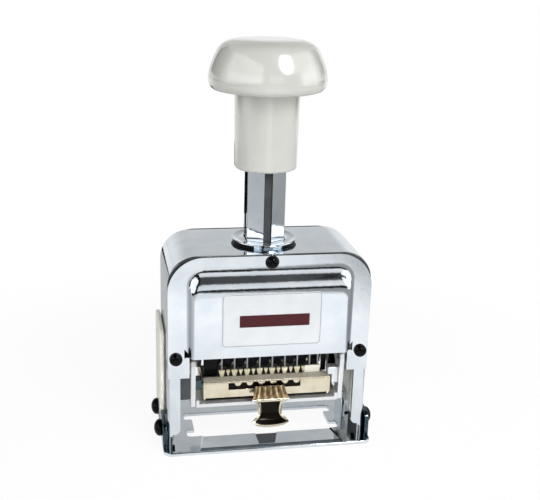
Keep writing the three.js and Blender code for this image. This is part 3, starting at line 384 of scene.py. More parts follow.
upright_card("gap_card", (-0.25, -0.8), (-0.11, -0.8), 0.10, 1.1)
upright_card("low_left_card", (-0.55, -0.24), (-0.25, -0.55), 0.0, 0.09)
upright_card("left_card", (-0.5, 0.12), (-0.42, 0.42), 0.02, 0.12)
upright_card("right_card", (0.52, 0.10), (0.46, 0.34), 0.02, 0.12)
upright_card("left_high_card", (-0.47, 0.17), (-0.22, 0.45), 0.14, 0.46)
upright_card("right_high_card", (0.47, 0.17), (0.37, 0.33), 0.14, 0.40)
upright_card("key_flag", (0.04, -0.12), (0.105, -0.08), 0.112, 0.175)
lying = [(-0.14, 0.28), (0.03, 0.28), (0.03, 0.52), (-0.14, 0.52)]
hang_card("tube_card", [(x, y, 0.001) for x, y in lying])
print("cards hung")

# %% [markdown]
# Chrome plate on pressed steel: nickel and chromium are plated over a polished pressing, so the
# eye gets a clear mirror, a pale cool grey, with faint waves left by the press and a few finger
# marks. The IOR stays at its default, and the colour gives a metal its reflectance.


# %% Metals
def chrome_plate():
    made, tree, surface, place = new_material("polished_chrome_plate")
    coloured(tree, surface, noise(tree, place, 9), "#d9e1e8", "#e5ebf0", 0.35, 0.65)
    surface.inputs["Metallic"].default_value = 1.0
    smear = noise(tree, place, 5, 6.0)
    link(tree, scaled(tree, smear, 0.035, 0.11), surface.inputs["Roughness"])
    waves = relief(tree, surface, noise(tree, place, 2.8, 2.0), 0.03, 0.6)
    peel = add(tree, "Bump", Height=noise(tree, place, 0.7, 2.0), Strength=0.5, Distance=0.011 * MM)
    link(tree, peel.outputs[0], waves.inputs["Normal"])
    return made


# Bright steel, blanked and turned: it is drawn or rolled, so fine lines run along it and blur
# reflections. Real lines are about 0.05 mm apart; they are drawn at 0.25 mm so that they show.
def bright_steel():
    made, tree, surface, place = new_material("drawn_bright_steel")
    lines = noise(tree, place, 0.25, 4.0, stretch=(14, 1, 1))
    coloured(tree, surface, lines, "#a9abad", "#c6c8ca")
    surface.inputs["Metallic"].default_value = 1.0
    link(tree, scaled(tree, lines, 0.22, 0.38), surface.inputs["Roughness"])
    relief(tree, surface, lines, 0.02, 0.5)
    return made


# The swing's tray and arms are dull nickel, which spreads the light a little.
def satin_nickel():
    made, tree, surface, place = new_material("dull_nickel_plate")
    cloud = noise(tree, place, 8)
    coloured(tree, surface, cloud, "#dfe2e4", "#e6e8ea")
    surface.inputs["Metallic"].default_value = 0.8
    link(tree, scaled(tree, cloud, 0.3, 0.36), surface.inputs["Roughness"])
    relief(tree, surface, noise(tree, place, 0.6), 0.006, 0.4)
    return made


# A dark teal mirror that paints in dark reflections and shade: on the foot's side walls, on the slopes of its
# recess and on the left arm block.
def blued_steel():
    made, tree, surface, place = new_material("painted_teal_reflection")
    coloured(tree, surface, noise(tree, place, 2.5), "#2f3e47", "#5b6b74")
    surface.inputs["Metallic"].default_value = 1.0
    link(tree, scaled(tree, noise(tree, place, 2), 0.06, 0.16), surface.inputs["Roughness"])
    relief(tree, surface, noise(tree, place, 1.1), 0.04, 0.6)
    return made


def spring_steel():
    made, tree, surface, place = new_material("oiled_spring_wire")
    blotch = noise(tree, place, 1.5)
    coloured(tree, surface, blotch, "#6c6a66", "#95938f")
    surface.inputs["Metallic"].default_value = 1.0
    link(tree, scaled(tree, blotch, 0.2, 0.4), surface.inputs["Roughness"])
    return made


# Brass sheet, pressed and buffed, with a thin lacquer: pale gold in the light, brown in the shade,
# with soft stains where ink and fingers touch it.
def brass_sheet():
    made, tree, surface, place = new_material("buffed_brass_sheet")
    stain = noise(tree, place, 4, 5.0)
    stops = [(0.25, srgb("#dacfb5")), (0.5, srgb("#e4dbc5")), (0.8, srgb("#ebe4d3"))]
    link(tree, ramp(tree, stain, stops), surface.inputs["Base Color"])
    surface.inputs["Metallic"].default_value = 1.0
    link(tree, scaled(tree, stain, 0.1, 0.24), surface.inputs["Roughness"])
    relief(tree, surface, noise(tree, place, 1.2), 0.01, 0.5)
    return made


# A pale gold, nearly white, for the comb's feet: painted light, so that they read bright in the shade under
# the cover.
def gold_brass():
    made, tree, surface, place = new_material("painted_light_gold_brass")
    coloured(tree, surface, noise(tree, place, 0.8), "#ecdfae", "#fffbe6")
    surface.inputs["Metallic"].default_value = 0.35
    link(tree, scaled(tree, noise(tree, place, 0.5), 0.22, 0.38), surface.inputs["Roughness"])
    return made


light_gold = gold_brass()


# Cut brass of the wheels, coloured by height: bright gold on the type that stands lowest, and dark above it,
# for dried ink and for painted shade under the cover.
clean_drop, ink_and_shade_drop = 6.9, 6.3


def brass_type(axle_z):
    made, tree, surface, place = new_material("cut_brass_ink_and_shade")
    metal = ramp(tree, noise(tree, place, 0.8), [(0.3, srgb("#c9ae62")), (0.7, srgb("#ecd994"))])
    height = add(tree, "SeparateXYZ", Vector=place).outputs["Z"]
    clean_z, ink_and_shade_z = (axle_z - clean_drop) * MM, (axle_z - ink_and_shade_drop) * MM
    ink_and_shade = between(tree, height, clean_z, ink_and_shade_z, "SMOOTHSTEP")
    ink_and_shade_colour = ramp(tree, noise(tree, place, 1.0), [(0.3, srgb("#0b0c12")), (0.7, srgb("#191a24"))])
    link(tree, mixed_colour(tree, ink_and_shade, metal, ink_and_shade_colour), surface.inputs["Base Color"])
    link(tree, scaled(tree, ink_and_shade, 1.0, 0.2), surface.inputs["Metallic"])
    link(tree, scaled(tree, ink_and_shade, 0.16, 0.45), surface.inputs["Roughness"])
    return made


chrome = chrome_plate()
steel = bright_steel()
nickel = satin_nickel()
teal_reflection = blued_steel()
spring_wire = spring_steel()
brass = brass_sheet()
axle_head_radius = 2.6
axle_z = box_mm("wheel_axle")[0].z + axle_head_radius
type_brass = brass_type(axle_z)
print("metals", chrome.name, steel.name, brass.name, type_brass.name)

# %% [markdown]
# The plastics: the handle is ABS moulded in a polished tool, so it has a clear gloss over an
# off-white body. The side covers are the same resin from a fine-eroded tool, so they are satin.
# The heads of the screws are steel under black enamel. Cut edges, inner faces and hollows take dark colours
# that paint in the shade and the dark reflections that fall there.


# %% Plastics, enamel, label and felt
def moulded(name, dark, pale, cloud_mm, gloss, grain_mm, grain_depth):
    made, tree, surface, place = new_material(name)
    coloured(tree, surface, noise(tree, place, cloud_mm), dark, pale)
    surface.inputs["IOR"].default_value = 1.53
    smear = noise(tree, place, grain_mm * 4)
    link(tree, scaled(tree, smear, *gloss), surface.inputs["Roughness"])
    relief(tree, surface, noise(tree, place, grain_mm), grain_depth, 0.4)
    return made


ivory_abs = moulded("polished_ivory_ABS", "#bbbbb6", "#c2c2bd", 14, (0.06, 0.1), 3.0, 0.01)
ivory_surface = ivory_abs.node_tree.nodes["Principled BSDF"]
ivory_surface.inputs["Coat Weight"].default_value = 1.0
ivory_surface.inputs["Coat Roughness"].default_value = 0.11
ivory_surface.inputs["Coat IOR"].default_value = 1.6
cream_abs = moulded("satin_cream_ABS", "#e6e4d9", "#edebe1", 10, (0.32, 0.42), 0.35, 0.02)
black_enamel = moulded("stoved_black_enamel", "#020203", "#050506", 2, (0.04, 0.07), 1.0, 0.005)
black_enamel.node_tree.nodes["Principled BSDF"].inputs["Specular IOR Level"].default_value = 0.11
primer = moulded("pale_green_primer", "#e6ebe4", "#f1f4ef", 5, (0.35, 0.5), 0.6, 0.01)
# A black steel colour that paints in shade and a dark reflection: in the relief under the finger tab and on
# the plate behind the left flange.
black_shade = moulded("painted_black_shade", "#2b3035", "#373c40", 3, (0.28, 0.4), 0.4, 0.01)
# A near-black colour that paints in shade: in the seams, on the cut edges of the sheet and under the collar.
seam_shade = moulded("painted_seam_shade", "#0d0e10", "#16181a", 1.5, (0.45, 0.6), 0.4, 0.02)
# The top of the pad case's lip is a dull grey, not metallic, darker than the brass round it.
greyed_brass = moulded("dull_grey_brass", "#a39c8c", "#bdb6a6", 1.5, (0.4, 0.55), 0.4, 0.01)
# A dark steel colour that paints in the shade inside: on inner faces, on the backs of the covers and in the
# tube's groove.
inside_shade = moulded("painted_inside_shade", "#26282b", "#34373a", 4, (0.5, 0.65), 0.5, 0.02)
# Brown and nearly black brass: on the finger tab they paint in the dark reflections of its flutes and its
# hollow, and the nearly black one also paints the shade in the slot and on the low front step of the case.
brown_reflection_brass = moulded("painted_brown_reflection", "#4a3a29", "#92805f", 1.2, (0.36, 0.48), 0.6, 0.01)
black_shade_brass = moulded("painted_black_shade_brass", "#0d0a08", "#1c140e", 2, (0.12, 0.25), 0.8, 0.01)
for painted_brass in (brown_reflection_brass, black_shade_brass):
    painted_brass.node_tree.nodes["Principled BSDF"].inputs["Metallic"].default_value = 0.85


def label_foil():
    made, tree, surface, place = new_material("printed_white_foil")
    coloured(tree, surface, noise(tree, place, 6), "#cdd1d4", "#d6d9dc")
    surface.inputs["Metallic"].default_value = 0.35
    link(tree, scaled(tree, noise(tree, place, 2), 0.25, 0.35), surface.inputs["Roughness"])
    return made


def printed(name, dark, pale):
    made, tree, surface, place = new_material(name)
    coloured(tree, surface, noise(tree, place, 0.5), dark, pale)
    surface.inputs["Roughness"].default_value = 0.5
    surface.inputs["Specular IOR Level"].default_value = 0.25
    return made


# Wool felt soaked with ink where the type lands, and grey-brown round it: fibres about 0.02 mm
# thick, drawn as 0.2 mm fuzz, with a damp sheen.
pad_top = box_mm("ink_pad")[1].z
inked_half, inked_front, inked_rear = 19.5, -7.2, 4.2


def ink_felt():
    made, tree, surface, place = new_material("inked_wool_felt")
    fuzz = noise(tree, place, 0.2, 6.0)
    soaked = ramp(tree, fuzz, [(0.35, srgb("#07070a")), (0.65, srgb("#18181e"))])
    bare = ramp(tree, fuzz, [(0.35, srgb("#6f675c")), (0.65, srgb("#958c7f"))])
    axes = add(tree, "SeparateXYZ", Vector=place).outputs
    across = maths(tree, "DIVIDE", axes["X"], inked_half * MM)
    depth = add(
        tree, "MapRange", {"clamp": False}, Value=axes["Y"],
        From_Min=inked_front * MM, From_Max=inked_rear * MM, To_Min=-1.0, To_Max=1.0,
    ).outputs[0]
    edge = maths(tree, "MAXIMUM", *[maths(tree, "ABSOLUTE", axis) for axis in (across, depth)])
    dry = between(tree, edge, 0.94, 1.06, "SMOOTHSTEP")
    top = between(tree, axes["Z"], (pad_top - 0.9) * MM, (pad_top - 0.5) * MM)
    dry_top = maths(tree, "MULTIPLY", dry, top)
    link(tree, mixed_colour(tree, dry_top, soaked, bare), surface.inputs["Base Color"])
    link(tree, scaled(tree, noise(tree, place, 3), 0.55, 0.9), surface.inputs["Roughness"])
    surface.inputs["Sheen Weight"].default_value = 0.08
    relief(tree, surface, fuzz, 0.15, 0.8)
    return made


foil = label_foil()
label_line = printed("grey_print", "#8e9498", "#a2a8ac")
label_bar = printed("maroon_print", "#3a0d14", "#451219")
felt = ink_felt()
print("plastics and prints", ivory_abs.name, cream_abs.name, foil.name)

# %% [markdown]
# Shapes come from a few ways of making a part: a lathe for what is turned, a plate for what is
# cut from sheet, and rings of points for what is pressed. Edges get a small round, because a real
# edge always has one and it is what catches the light.


# %% Outlines
def arc(a, b, radius, start, end, steps=12):
    """Points of an arc about (a, b), from one angle to the other in degrees."""
    angles = [math.radians(start + (end - start) * i / steps) for i in range(steps + 1)]
    return [(a + radius * math.cos(t), b + radius * math.sin(t)) for t in angles]


def rounded_box(a0, a1, b0, b1, radius, steps=8):
    return (
        arc(a1 - radius, b0 + radius, radius, -90, 0, steps)
        + arc(a1 - radius, b1 - radius, radius, 0, 90, steps)
        + arc(a0 + radius, b1 - radius, radius, 90, 180, steps)
        + arc(a0 + radius, b0 + radius, radius, 180, 270, steps)
    )


def arch(half, bottom, top, radius, steps=16):
    """An upside-down U with rounded upper corners, from the right foot round to the left."""
    return (
        [(half, bottom)]
        + arc(half - radius, top - radius, radius, 0, 90, steps)
        + arc(radius - half, top - radius, radius, 90, 180, steps)
        + [(-half, bottom)]
    )


# %% Mesh makers
def mesh_piece(name, points, faces, material):
    """A mesh object from points in millimetres, with its faces turned out and shaded smooth."""
    data = bpy.data.meshes.new(name)
    data.from_pydata([Vector(p) * MM for p in points], [], faces)
    work = bmesh.new()
    work.from_mesh(data)
    bmesh.ops.remove_doubles(work, verts=work.verts, dist=1e-7)
    bmesh.ops.recalc_face_normals(work, faces=work.faces)
    work.to_mesh(data)
    work.free()
    data.materials.append(material)
    made = bpy.data.objects.new(name, data)
    bpy.context.scene.collection.objects.link(made)
    return made


def applied(piece):
    """Turns the piece's modifiers into its mesh."""
    scene_state = bpy.context.evaluated_depsgraph_get()
    data = bpy.data.meshes.new_from_object(piece.evaluated_get(scene_state))
    old = piece.data
    piece.modifiers.clear()
    piece.data = data
    bpy.data.meshes.remove(old)
    return piece


def smooth(piece, angle=32):
    """Smooth shading with crisp edges over the angle, weighted so that flat faces stay flat."""
    piece.data.shade_smooth()
    work = bmesh.new()
    work.from_mesh(piece.data)
    for edge in work.edges:
        edge.smooth = len(edge.link_faces) == 2 and edge.calc_face_angle(0) < math.radians(angle)
    work.to_mesh(piece.data)
    work.free()
    weighted = piece.modifiers.new("flat faces stay flat", "WEIGHTED_NORMAL")
    weighted.keep_sharp = True
    weighted.weight = 80
    return piece


def round_edges(piece, width, segments=3, angle=35):
    """Rounds every edge sharper than the angle."""
    bevel = piece.modifiers.new("rounded edges", "BEVEL")
    bevel.width = width * MM
    bevel.segments = segments
    bevel.limit_method = "ANGLE"
    bevel.angle_limit = math.radians(angle)
    bevel.use_clamp_overlap = True
    return applied(piece)


def carve(piece, *tools, operation="DIFFERENCE"):
    """Cuts the tools away from the piece, or joins them to it, and removes them."""
    for tool in tools:
        cut = piece.modifiers.new("cut", "BOOLEAN")
        cut.operation = operation
        cut.solver = "EXACT"
        cut.object = tool
        applied(piece)
        bpy.data.objects.remove(tool)
    return piece


AXES = {
    "X": lambda a, b, c: (c, a, b),
    "Y": lambda a, b, c: (a, c, b),
    "Z": lambda a, b, c: (a, b, c),
}


def prism(name, outline, axis, low, high, material=None):
    """An outline raised along an axis: (y, z) along X, (x, z) along Y and (x, y) along Z."""
    place = AXES[axis]
    count = len(outline)
    points = [place(a, b, level) for level in (low, high) for a, b in outline]
    faces = [range(count), range(count, 2 * count)]
    faces += [(i, (i + 1) % count, (i + 1) % count + count, i + count) for i in range(count)]
    return mesh_piece(name, points, faces, material or steel)


def plate(name, outlines, axis, low, high, edge, material):
    """A plate with holes and rounded edges: the first outline is its border, the rest are holes."""
    curve = bpy.data.curves.new(name, "CURVE")
    curve.dimensions = "2D"
    curve.fill_mode = "BOTH"
    curve.extrude = ((high - low) / 2 - edge) * MM
    curve.bevel_depth = edge * MM
    curve.bevel_resolution = 2
    curve.offset = -edge * MM
    for outline in outlines:
        spline = curve.splines.new("POLY")
        spline.points.add(len(outline) - 1)
        for point, (a, b) in zip(spline.points, outline):
            point.co = (a * MM, b * MM, 0, 1)
        spline.use_cyclic_u = True
    flat = bpy.data.objects.new(name, curve)
    bpy.context.scene.collection.objects.link(flat)
    data = bpy.data.meshes.new_from_object(flat.evaluated_get(bpy.context.evaluated_depsgraph_get()))
    bpy.data.objects.remove(flat)
    bpy.data.curves.remove(curve)
    middle = (low + high) / 2 * MM
    place = AXES[axis]
    points = [Vector(place(v.co.x, v.co.y, v.co.z + middle)) / MM for v in data.vertices]
    faces = [tuple(p.vertices) for p in data.polygons]
    bpy.data.meshes.remove(data)
    return mesh_piece(name, points, faces, material)


def ringed(name, rings, material, closed_ring=True, caps=True):
    """A skin through rings of points. Rings close on themselves and the ends are capped."""
    count = len(rings[0])
    points = [p for ring in rings for p in ring]
    faces = []
    last = count if closed_ring else count - 1
    for k in range(len(rings) - 1):
        for i in range(last):
            a, b = k * count + i, k * count + (i + 1) % count
            faces.append((a, b, b + count, a + count))
    if caps:
        faces += [range(count), range((len(rings) - 1) * count, len(rings) * count)]
    return mesh_piece(name, points, faces, material)


def lathe(name, profile, material, axis="Z", at=(0, 0, 0), sides=96, sense=1):
    """A profile of (radius, height) turned about a line through at, along the axis."""
    rings = []
    for radius, height in profile:
        ring = []
        for i in range(sides):
            turn = 2 * math.pi * i / sides
            a, b = max(radius, 1e-4) * math.cos(turn), max(radius, 1e-4) * math.sin(turn)
            ring.append(Vector(AXES[axis](a, b, sense * height)) + Vector(at))
        rings.append(ring)
    return ringed(name, rings, material)


def add_finishes(piece, *materials):
    """More finishes for a piece, numbered from 1, which its faces can take."""
    for material in materials:
        piece.data.materials.append(material)


def painted(piece, number):
    """Every face takes the finish of that number, of this piece or of the one it is merged into."""
    for polygon in piece.data.polygons:
        polygon.material_index = number
    return piece


def merged(piece, *others):
    """Joins other meshes to the piece as they are."""
    for other in others:
        work = bmesh.new()
        work.from_mesh(piece.data)
        work.from_mesh(other.data)
        work.to_mesh(piece.data)
        work.free()
        bpy.data.objects.remove(other)
    return piece


def seat(piece, body, slot, *replaced):
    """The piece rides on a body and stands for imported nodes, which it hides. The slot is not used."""
    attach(piece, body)
    if replaced:
        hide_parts(*replaced)
    print(f"{piece.name}: {len(piece.data.polygons)} faces on {body}")
    return piece


# %% [markdown]
# The frame is one strip of sheet steel bent round as an arch, with a flange turned in along its
# front and rear. A skin swept round the arch gives its bends true radii. Then the notches for the
# side covers and the holes are cut, as a press would do.

# %% Frame
wall = 1.6
flange_width = 4.3
flange_sheet = 1.2
bend_radius = 1.0
seam_turn = 0.5
post_bottom = 5
side_top = 39
side_front = -5
overlap = 2
gap = 0.3


def c_section():
    """(depth from the outer face, y) round the section of the bent strip."""
    face, inner = sheet_face, sheet_face - flange_sheet
    half_section = [
        (flange_width, inner),
        (flange_width, face),
        *[(bend_radius - r, y) for r, y in arc(0, face - bend_radius, bend_radius, 90, 0, 5)],
    ]
    mirrored = [(d, -y) for d, y in reversed(half_section)]
    inside = [(wall, -inner), (wall, inner)]
    return half_section + mirrored + inside


def swept_arch(name, section, bottom):
    """The section swept along the arch of the frame, from the right foot to the left."""
    reach = half_width - corner_radius
    rise = frame_top - corner_radius
    steps = 20
    path = [(half_width, bottom, 0)]
    for centre, first in ((reach, 0), (-reach, 90)):
        turns = [first + 90 * i / steps for i in range(steps + 1)]
        bend = arc(centre, rise, corner_radius, first, first + 90, steps)
        path += [(x, z, turn) for (x, z), turn in zip(bend, turns)]
    path.append((-half_width, bottom, 180))
    rings = []
    for x, z, turn in path:
        inward = (-math.cos(math.radians(turn)), -math.sin(math.radians(turn)))
        rings.append([(x + inward[0] * d, y, z + inward[1] * d) for d, y in section])
    return ringed(name, rings, chrome)


def rod(radius, axis, low, high, at, sides=40):
    return lathe("cutter", [(radius, low), (radius, high)], steel, axis, at, sides)


def block(x0, x1, y0, y1, z0, z1):
    return prism("cutter", [(x0, y0), (x1, y0), (x1, y1), (x0, y1)], "Z", z0, z1)


shell = swept_arch("chrome_frame", c_section(), shell_low.z)
far = 60
notch_top = side_top - overlap + gap
notch_front = side_front + overlap - gap
shell = carve(shell, block(-far, far, notch_front, far, -far, notch_top))
inside_half, behind_flange = half_width - wall - 0.01, 1 - sheet_face + flange_sheet
shell = carve(shell, block(-inside_half, inside_half, -far, behind_flange, -far, post_bottom))
toe = 2.0
inner_edge = half_width - flange_width
for side in (-1, 1):
    corner = [(side * (inner_edge - 1), post_bottom - 1), (side * (inner_edge + toe), post_bottom - 1)]
    corner += [(side * a, b) for a, b in arc(inner_edge + toe, post_bottom + toe, toe, 270, 180)]
    corner += [(side * (inner_edge - 1), post_bottom + toe)]
    shell = carve(shell, prism("cutter", corner, "Y", -sheet_face - 1, flange_sheet - sheet_face + 0.2))
collar_hole = 9.25
shell = carve(shell, rod(collar_hole, "Z", 60, 72, (0, 0, 0)))
shell = round_edges(shell, 0.18, 2, 50)
add_finishes(shell, seam_shade, inside_shade, primer)
primed_below = 24
# Flange faces in the seam near the top take the seam's painted shade, inner faces above the primer the
# inside's painted shade, and inner faces below it the primer.
for polygon in shell.data.polygons:
    at, out = polygon.center / MM, polygon.normal
    inwards = out.x * at.x + out.z * (at.z - frame_top / 2) < 0 and abs(out.y) < 0.5
    if abs(out.y) > seam_turn and abs(at.y) > sheet_face - bend_radius and at.z > frame_top - corner_radius:
        polygon.material_index = 1
    if at.z < primed_below:
        polygon.material_index = 3 if inwards else polygon.material_index
    elif inwards or out.y * at.y < -0.5 * abs(at.y):
        polygon.material_index = 2
shell = smooth(shell)
seat(shell, "frame", "chrome_plate", "frame_shell")

# %% [markdown]
# The front cover is pressed from thinner sheet: a flat border, then a roll that dips and swells to
# a raised panel. The roll is two arcs that meet in one slope, a tight hollow and a wide swell. It
# tilts and comes back, so the chrome shows its surroundings twice over, as bands along the roll.

# %% Covers
emboss_border = 3.1
panel_half = 28.3
top_roll, side_roll = 10.4, 2.8
emboss_corner = 6.0
hollow_share = 0.42
rim_inset, rim_radius = 0.12, 12.0


def roll_profile(run, rise, steps=18):
    """(share of the run, rise) of a roll made of a hollow and a swell that meet in one slope."""
    slope = 2 * math.atan2(rise, run)
    total = run / math.sin(slope)
    hollow, swell = total * hollow_share, total * (1 - hollow_share)
    half = steps // 2
    points = []
    for i in range(half + 1):
        t = slope * i / half
        points.append((hollow * math.sin(t) / run, hollow * (1 - math.cos(t))))
    for i in range(half - 1, -1, -1):
        t = slope * i / half
        points.append((1 - swell * math.sin(t) / run, rise - swell * (1 - math.cos(t))))
    return points


def pressed_cover(name, face, bottom, border_bottom, ears):
    """A cover at y = face * cover_face. Its panel ends at bottom and its border at border_bottom."""
    steps = 16
    levels = [bottom] if border_bottom == bottom else [bottom, border_bottom]

    def with_levels(half, top, radius):
        outline = arch(half, bottom, top, radius, steps)
        right = [(half, z) for z in levels]
        left = [(-half, z) for z in reversed(levels)]
        return right + outline[1:-1] + left

    base = with_levels(panel_half, frame_top - emboss_border, emboss_corner)
    crown = with_levels(panel_half - side_roll, frame_top - emboss_border - top_roll, 2.0)
    top_profile = roll_profile(top_roll, emboss_rise)
    side_profile = roll_profile(side_roll, emboss_rise)
    extra = len(levels) - 1
    weights = [0.0] * (1 + extra) + [math.sin(math.pi / 2 * i / steps) ** 2 for i in range(steps + 1)]
    weights = weights + list(reversed(weights))
    rings = []
    for (side_run, side_rise), (top_run, top_rise) in zip(side_profile, top_profile):
        ring = []
        for (bx, bz), (cx, cz), w in zip(base, crown, weights):
            run = side_run + (top_run - side_run) * w
            rise = side_rise + (top_rise - side_rise) * w
            ring.append((bx + (cx - bx) * run, face * (cover_face + rise), bz + (cz - bz) * run))
        rings.append(ring)
    count = len(base)
    points = [p for ring in rings for p in ring]
    faces = []
    for k in range(len(rings) - 1):
        for i in range(count - 1):
            a = k * count + i
            faces.append((a, a + 1, a + 1 + count, a + count))
    faces.append(range((len(rings) - 1) * count, len(rings) * count))
    rim_start = len(points)
    rim = arch(half_width - rim_inset, border_bottom, frame_top - rim_inset, rim_radius, steps)
    points += [(x, face * cover_face, z) for x, z in rim]
    for i in range(len(rim) - 1):
        faces.append((rim_start + i, rim_start + i + 1, i + 1 + extra, i + extra))
    if ears:
        for side, outer, inner in ((1, rim_start, 0), (-1, rim_start + len(rim) - 1, count - 1)):
            start = len(points)
            lower = [(panel_half, ears), (half_width - rim_inset, ears)]
            points += [(side * x, face * cover_face, z) for x, z in lower]
            points += [(side * (panel_half - 1.1), face * cover_face, z) for z in (ears, bottom - 0.4)]
            faces.append((inner, outer, start + 1, start))
            faces.append((inner, start, start + 2, start + 3))
    made = mesh_piece(name, points, faces, chrome)
    thick = made.modifiers.new("sheet", "SOLIDIFY")
    thick.thickness = cover_sheet * MM
    thick.offset = -1
    thick.use_even_offset = True
    return applied(made)


panel_bottom = 34.2


def darken_rim(cover):
    """The cut edges of the sheet take the seam's painted shade, and its back the inside's painted shade."""
    add_finishes(cover, seam_shade, inside_shade)
    for polygon in cover.data.polygons:
        if abs(polygon.normal.y) < 0.8 and abs(polygon.center.y) < (cover_face + 0.05) * MM:
            polygon.material_index = 1
        if polygon.normal.y * polygon.center.y < 0:
            polygon.material_index = 2
        elif abs(polygon.center.z / MM - panel_bottom) < 0.3 and abs(polygon.center.x / MM) > 28.95:
            polygon.material_index = 0
    return cover


front_cover = pressed_cover("pressed_front_cover", -1, panel_bottom, panel_bottom, cover_low.z)
button_z = (box_mm("lock_button")[0].z + box_mm("lock_button")[1].z) / 2
screw_x, screw_z = 31.7, 33.6
button_hole, screw_hole = 2.35, 1.35
outer_x, panel_radius = panel_half + 0.6, 2.2
inner_x = outer_x - panel_radius - 0.6
tools = [rod(button_hole, "Y", -far, 0, (0, 0, button_z))]
for side in (-1, 1):
    tools.append(rod(screw_hole, "Y", -far, 0, (side * screw_x, 0, screw_z)))
    relief_cut = [(26.6, panel_bottom + 0.2), (28.9, panel_bottom - 0.4), (28.9, panel_bottom + 2.9)]
    relief_cut = [(side * x, z) for x, z in relief_cut]
    tools.append(prism("cutter", relief_cut, "Y", -cover_face - 1.2, -sheet_face + 0.5))
    corner = [(outer_x, panel_bottom - 1), (inner_x, panel_bottom - 1)]
    corner += arc(inner_x, panel_bottom + panel_radius, panel_radius, 270, 360)
    corner = [(side * x, z) for x, z in corner + [(outer_x, panel_bottom + panel_radius)]]
    tools.append(prism("cutter", corner, "Y", -cover_face - emboss_rise - 1, -cover_face - 1.2))
front_cover = carve(front_cover, *tools)
front_cover = smooth(darken_rim(round_edges(front_cover, 0.16, 2, 50)))
seat(front_cover, "frame", "chrome_plate", "front_cover")

rear_bottom, rear_screw_z = box_mm("rear_cover")[0].z, 44
rear_cover = pressed_cover("pressed_rear_cover", 1, rear_bottom, side_top + gap, None)
tools = [rod(screw_hole, "Y", 0, far, (side * screw_x, 0, rear_screw_z)) for side in (-1, 1)]
rear_cover = carve(rear_cover, *tools)
rear_cover = smooth(darken_rim(round_edges(rear_cover, 0.16, 2, 50)))
seat(rear_cover, "frame", "chrome_plate", "rear_cover")

# %% [markdown]
# The foot is a flat plate with a window, two line markers in the window and a low wall turned up
# at each side. Its front rail has a shallow stamped recess with sloped ends, and in the recess a
# shallow relief under the finger tab.

# %% Foot
foot_high = box_mm("base_foot")[1]
foot_half, foot_depth = foot_high.x, foot_high.y
foot_sheet = 1.2
window_half, window_front, window_rear = 27.2, -11.0, 5.6
marker_length, marker_width = 8.3, 2.8


def window_outline():
    """The window with its round corners and the two markers that stand into it."""
    middle = (window_rear - window_front) / 2 + window_front
    low, high = middle - marker_length / 2, middle + marker_length / 2
    inner = window_half - marker_width
    right = [(window_half, low - 0.3), (window_half - 0.3, low), (inner + 0.5, low), (inner, low + 0.5)]
    right += [(inner, high - 0.5), (inner + 0.5, high), (window_half - 0.3, high), (window_half, high + 0.3)]
    left = [(-x, y) for x, y in reversed(right)]
    radius = 1.2
    return (
        arc(window_half - radius, window_front + radius, radius, -90, 0, 6)
        + right
        + arc(window_half - radius, window_rear - radius, radius, 0, 90, 6)
        + arc(radius - window_half, window_rear - radius, radius, 90, 180, 6)
        + left
        + arc(radius - window_half, window_front + radius, radius, 180, 270, 6)
    )


foot = plate(
    "windowed_foot",
    [rounded_box(-foot_half, foot_half, -foot_depth, foot_depth, 3), window_outline()],
    "Z", 0, foot_sheet, 0.3, chrome,
)
recess_depth, recess_slope = 0.45, 2.9
recess_floor, recess_front = foot_sheet - recess_depth, -21.7
# Each level of the recess: how far its ends stand in, the share of the front slope, and its height.
recess_levels = ((0.6, 1, recess_floor), (0, 0, foot_sheet), (-0.5, -0.05, foot_sheet + 0.3))
# The same of the relief, without the share.
relief_levels = ((0.3, 0.4), (0, recess_floor + 0.05))
rings = []
for inset, share, z in recess_levels:
    front, left, right = recess_front + recess_slope * share, -24 + inset, 26.3 - inset
    rings.append([(left, front, z), (right, front, z), (24.2 - inset, -10, z), (-22.0 + inset, -10, z)])
add_finishes(foot, black_shade, teal_reflection)
foot = carve(foot, ringed("cutter", rings, steel))
rings = []
for inset, z in relief_levels:
    front, left, right = -18.6 + inset, -3.1 + inset, 2.6 - inset
    rings.append([(4.9 - inset, -10, z), (-3.4 + inset, -10, z), (left, front, z), (right, front, z)])
foot = carve(foot, ringed("cutter", rings, steel))
for polygon in foot.data.polygons:
    at = polygon.center / MM
    on_slope = recess_front + 0.05 < at.y < recess_front + recess_slope and abs(at.x) < 25
    if on_slope and recess_floor < at.z < foot_sheet and polygon.normal.y > 0.05:
        polygon.material_index = 1
    # The relief under the finger tab takes the black painted shade, in place of the tab's dark reflection in
    # the rail.
    if -18.75 < at.y < -10 and -3.5 < at.x < 5 and 0.35 < at.z < recess_floor - 0.02:
        polygon.material_index = 1
wall_height, wall_sheet, wall_rear = 9.5, 1.4, side_front - gap
for side in (-1, 1):
    turned_up = [(-18, 0.2), (wall_rear, 0.2), (wall_rear, wall_height - 0.5), (wall_rear - 0.5, wall_height)]
    turned_up += arc(-15, wall_height - 3, 3, 90, 180, 8)
    inner_tab = rounded_box(0.5, 9.5, 0.2, wall_height, 1)
    for outline, outer in ((turned_up, foot_half), (inner_tab, half_width - wall - gap)):
        ends = sorted((side * (outer - wall_sheet), side * outer))
        foot = carve(foot, plate("cutter", [outline], "X", *ends, 0.3, chrome), operation="UNION")
# The foot's side walls and the slopes of its recess take the teal painted reflection.
for polygon in foot.data.polygons:
    at = polygon.center / MM
    if abs(at.x) > foot_half - wall_sheet - 0.05 and at.z > foot_sheet + 0.1:
        polygon.material_index = 2
    elif polygon.material_index == 1 and at.z > recess_floor:
        polygon.material_index = 2
foot = smooth(foot)
seat(foot, "frame", "chrome_plate", "base_foot")

# %% [markdown]
# The guide collar is a turned flange, dished so that it catches a bright ring, and its bore is the
# same hexagon as the tube that slides in it.


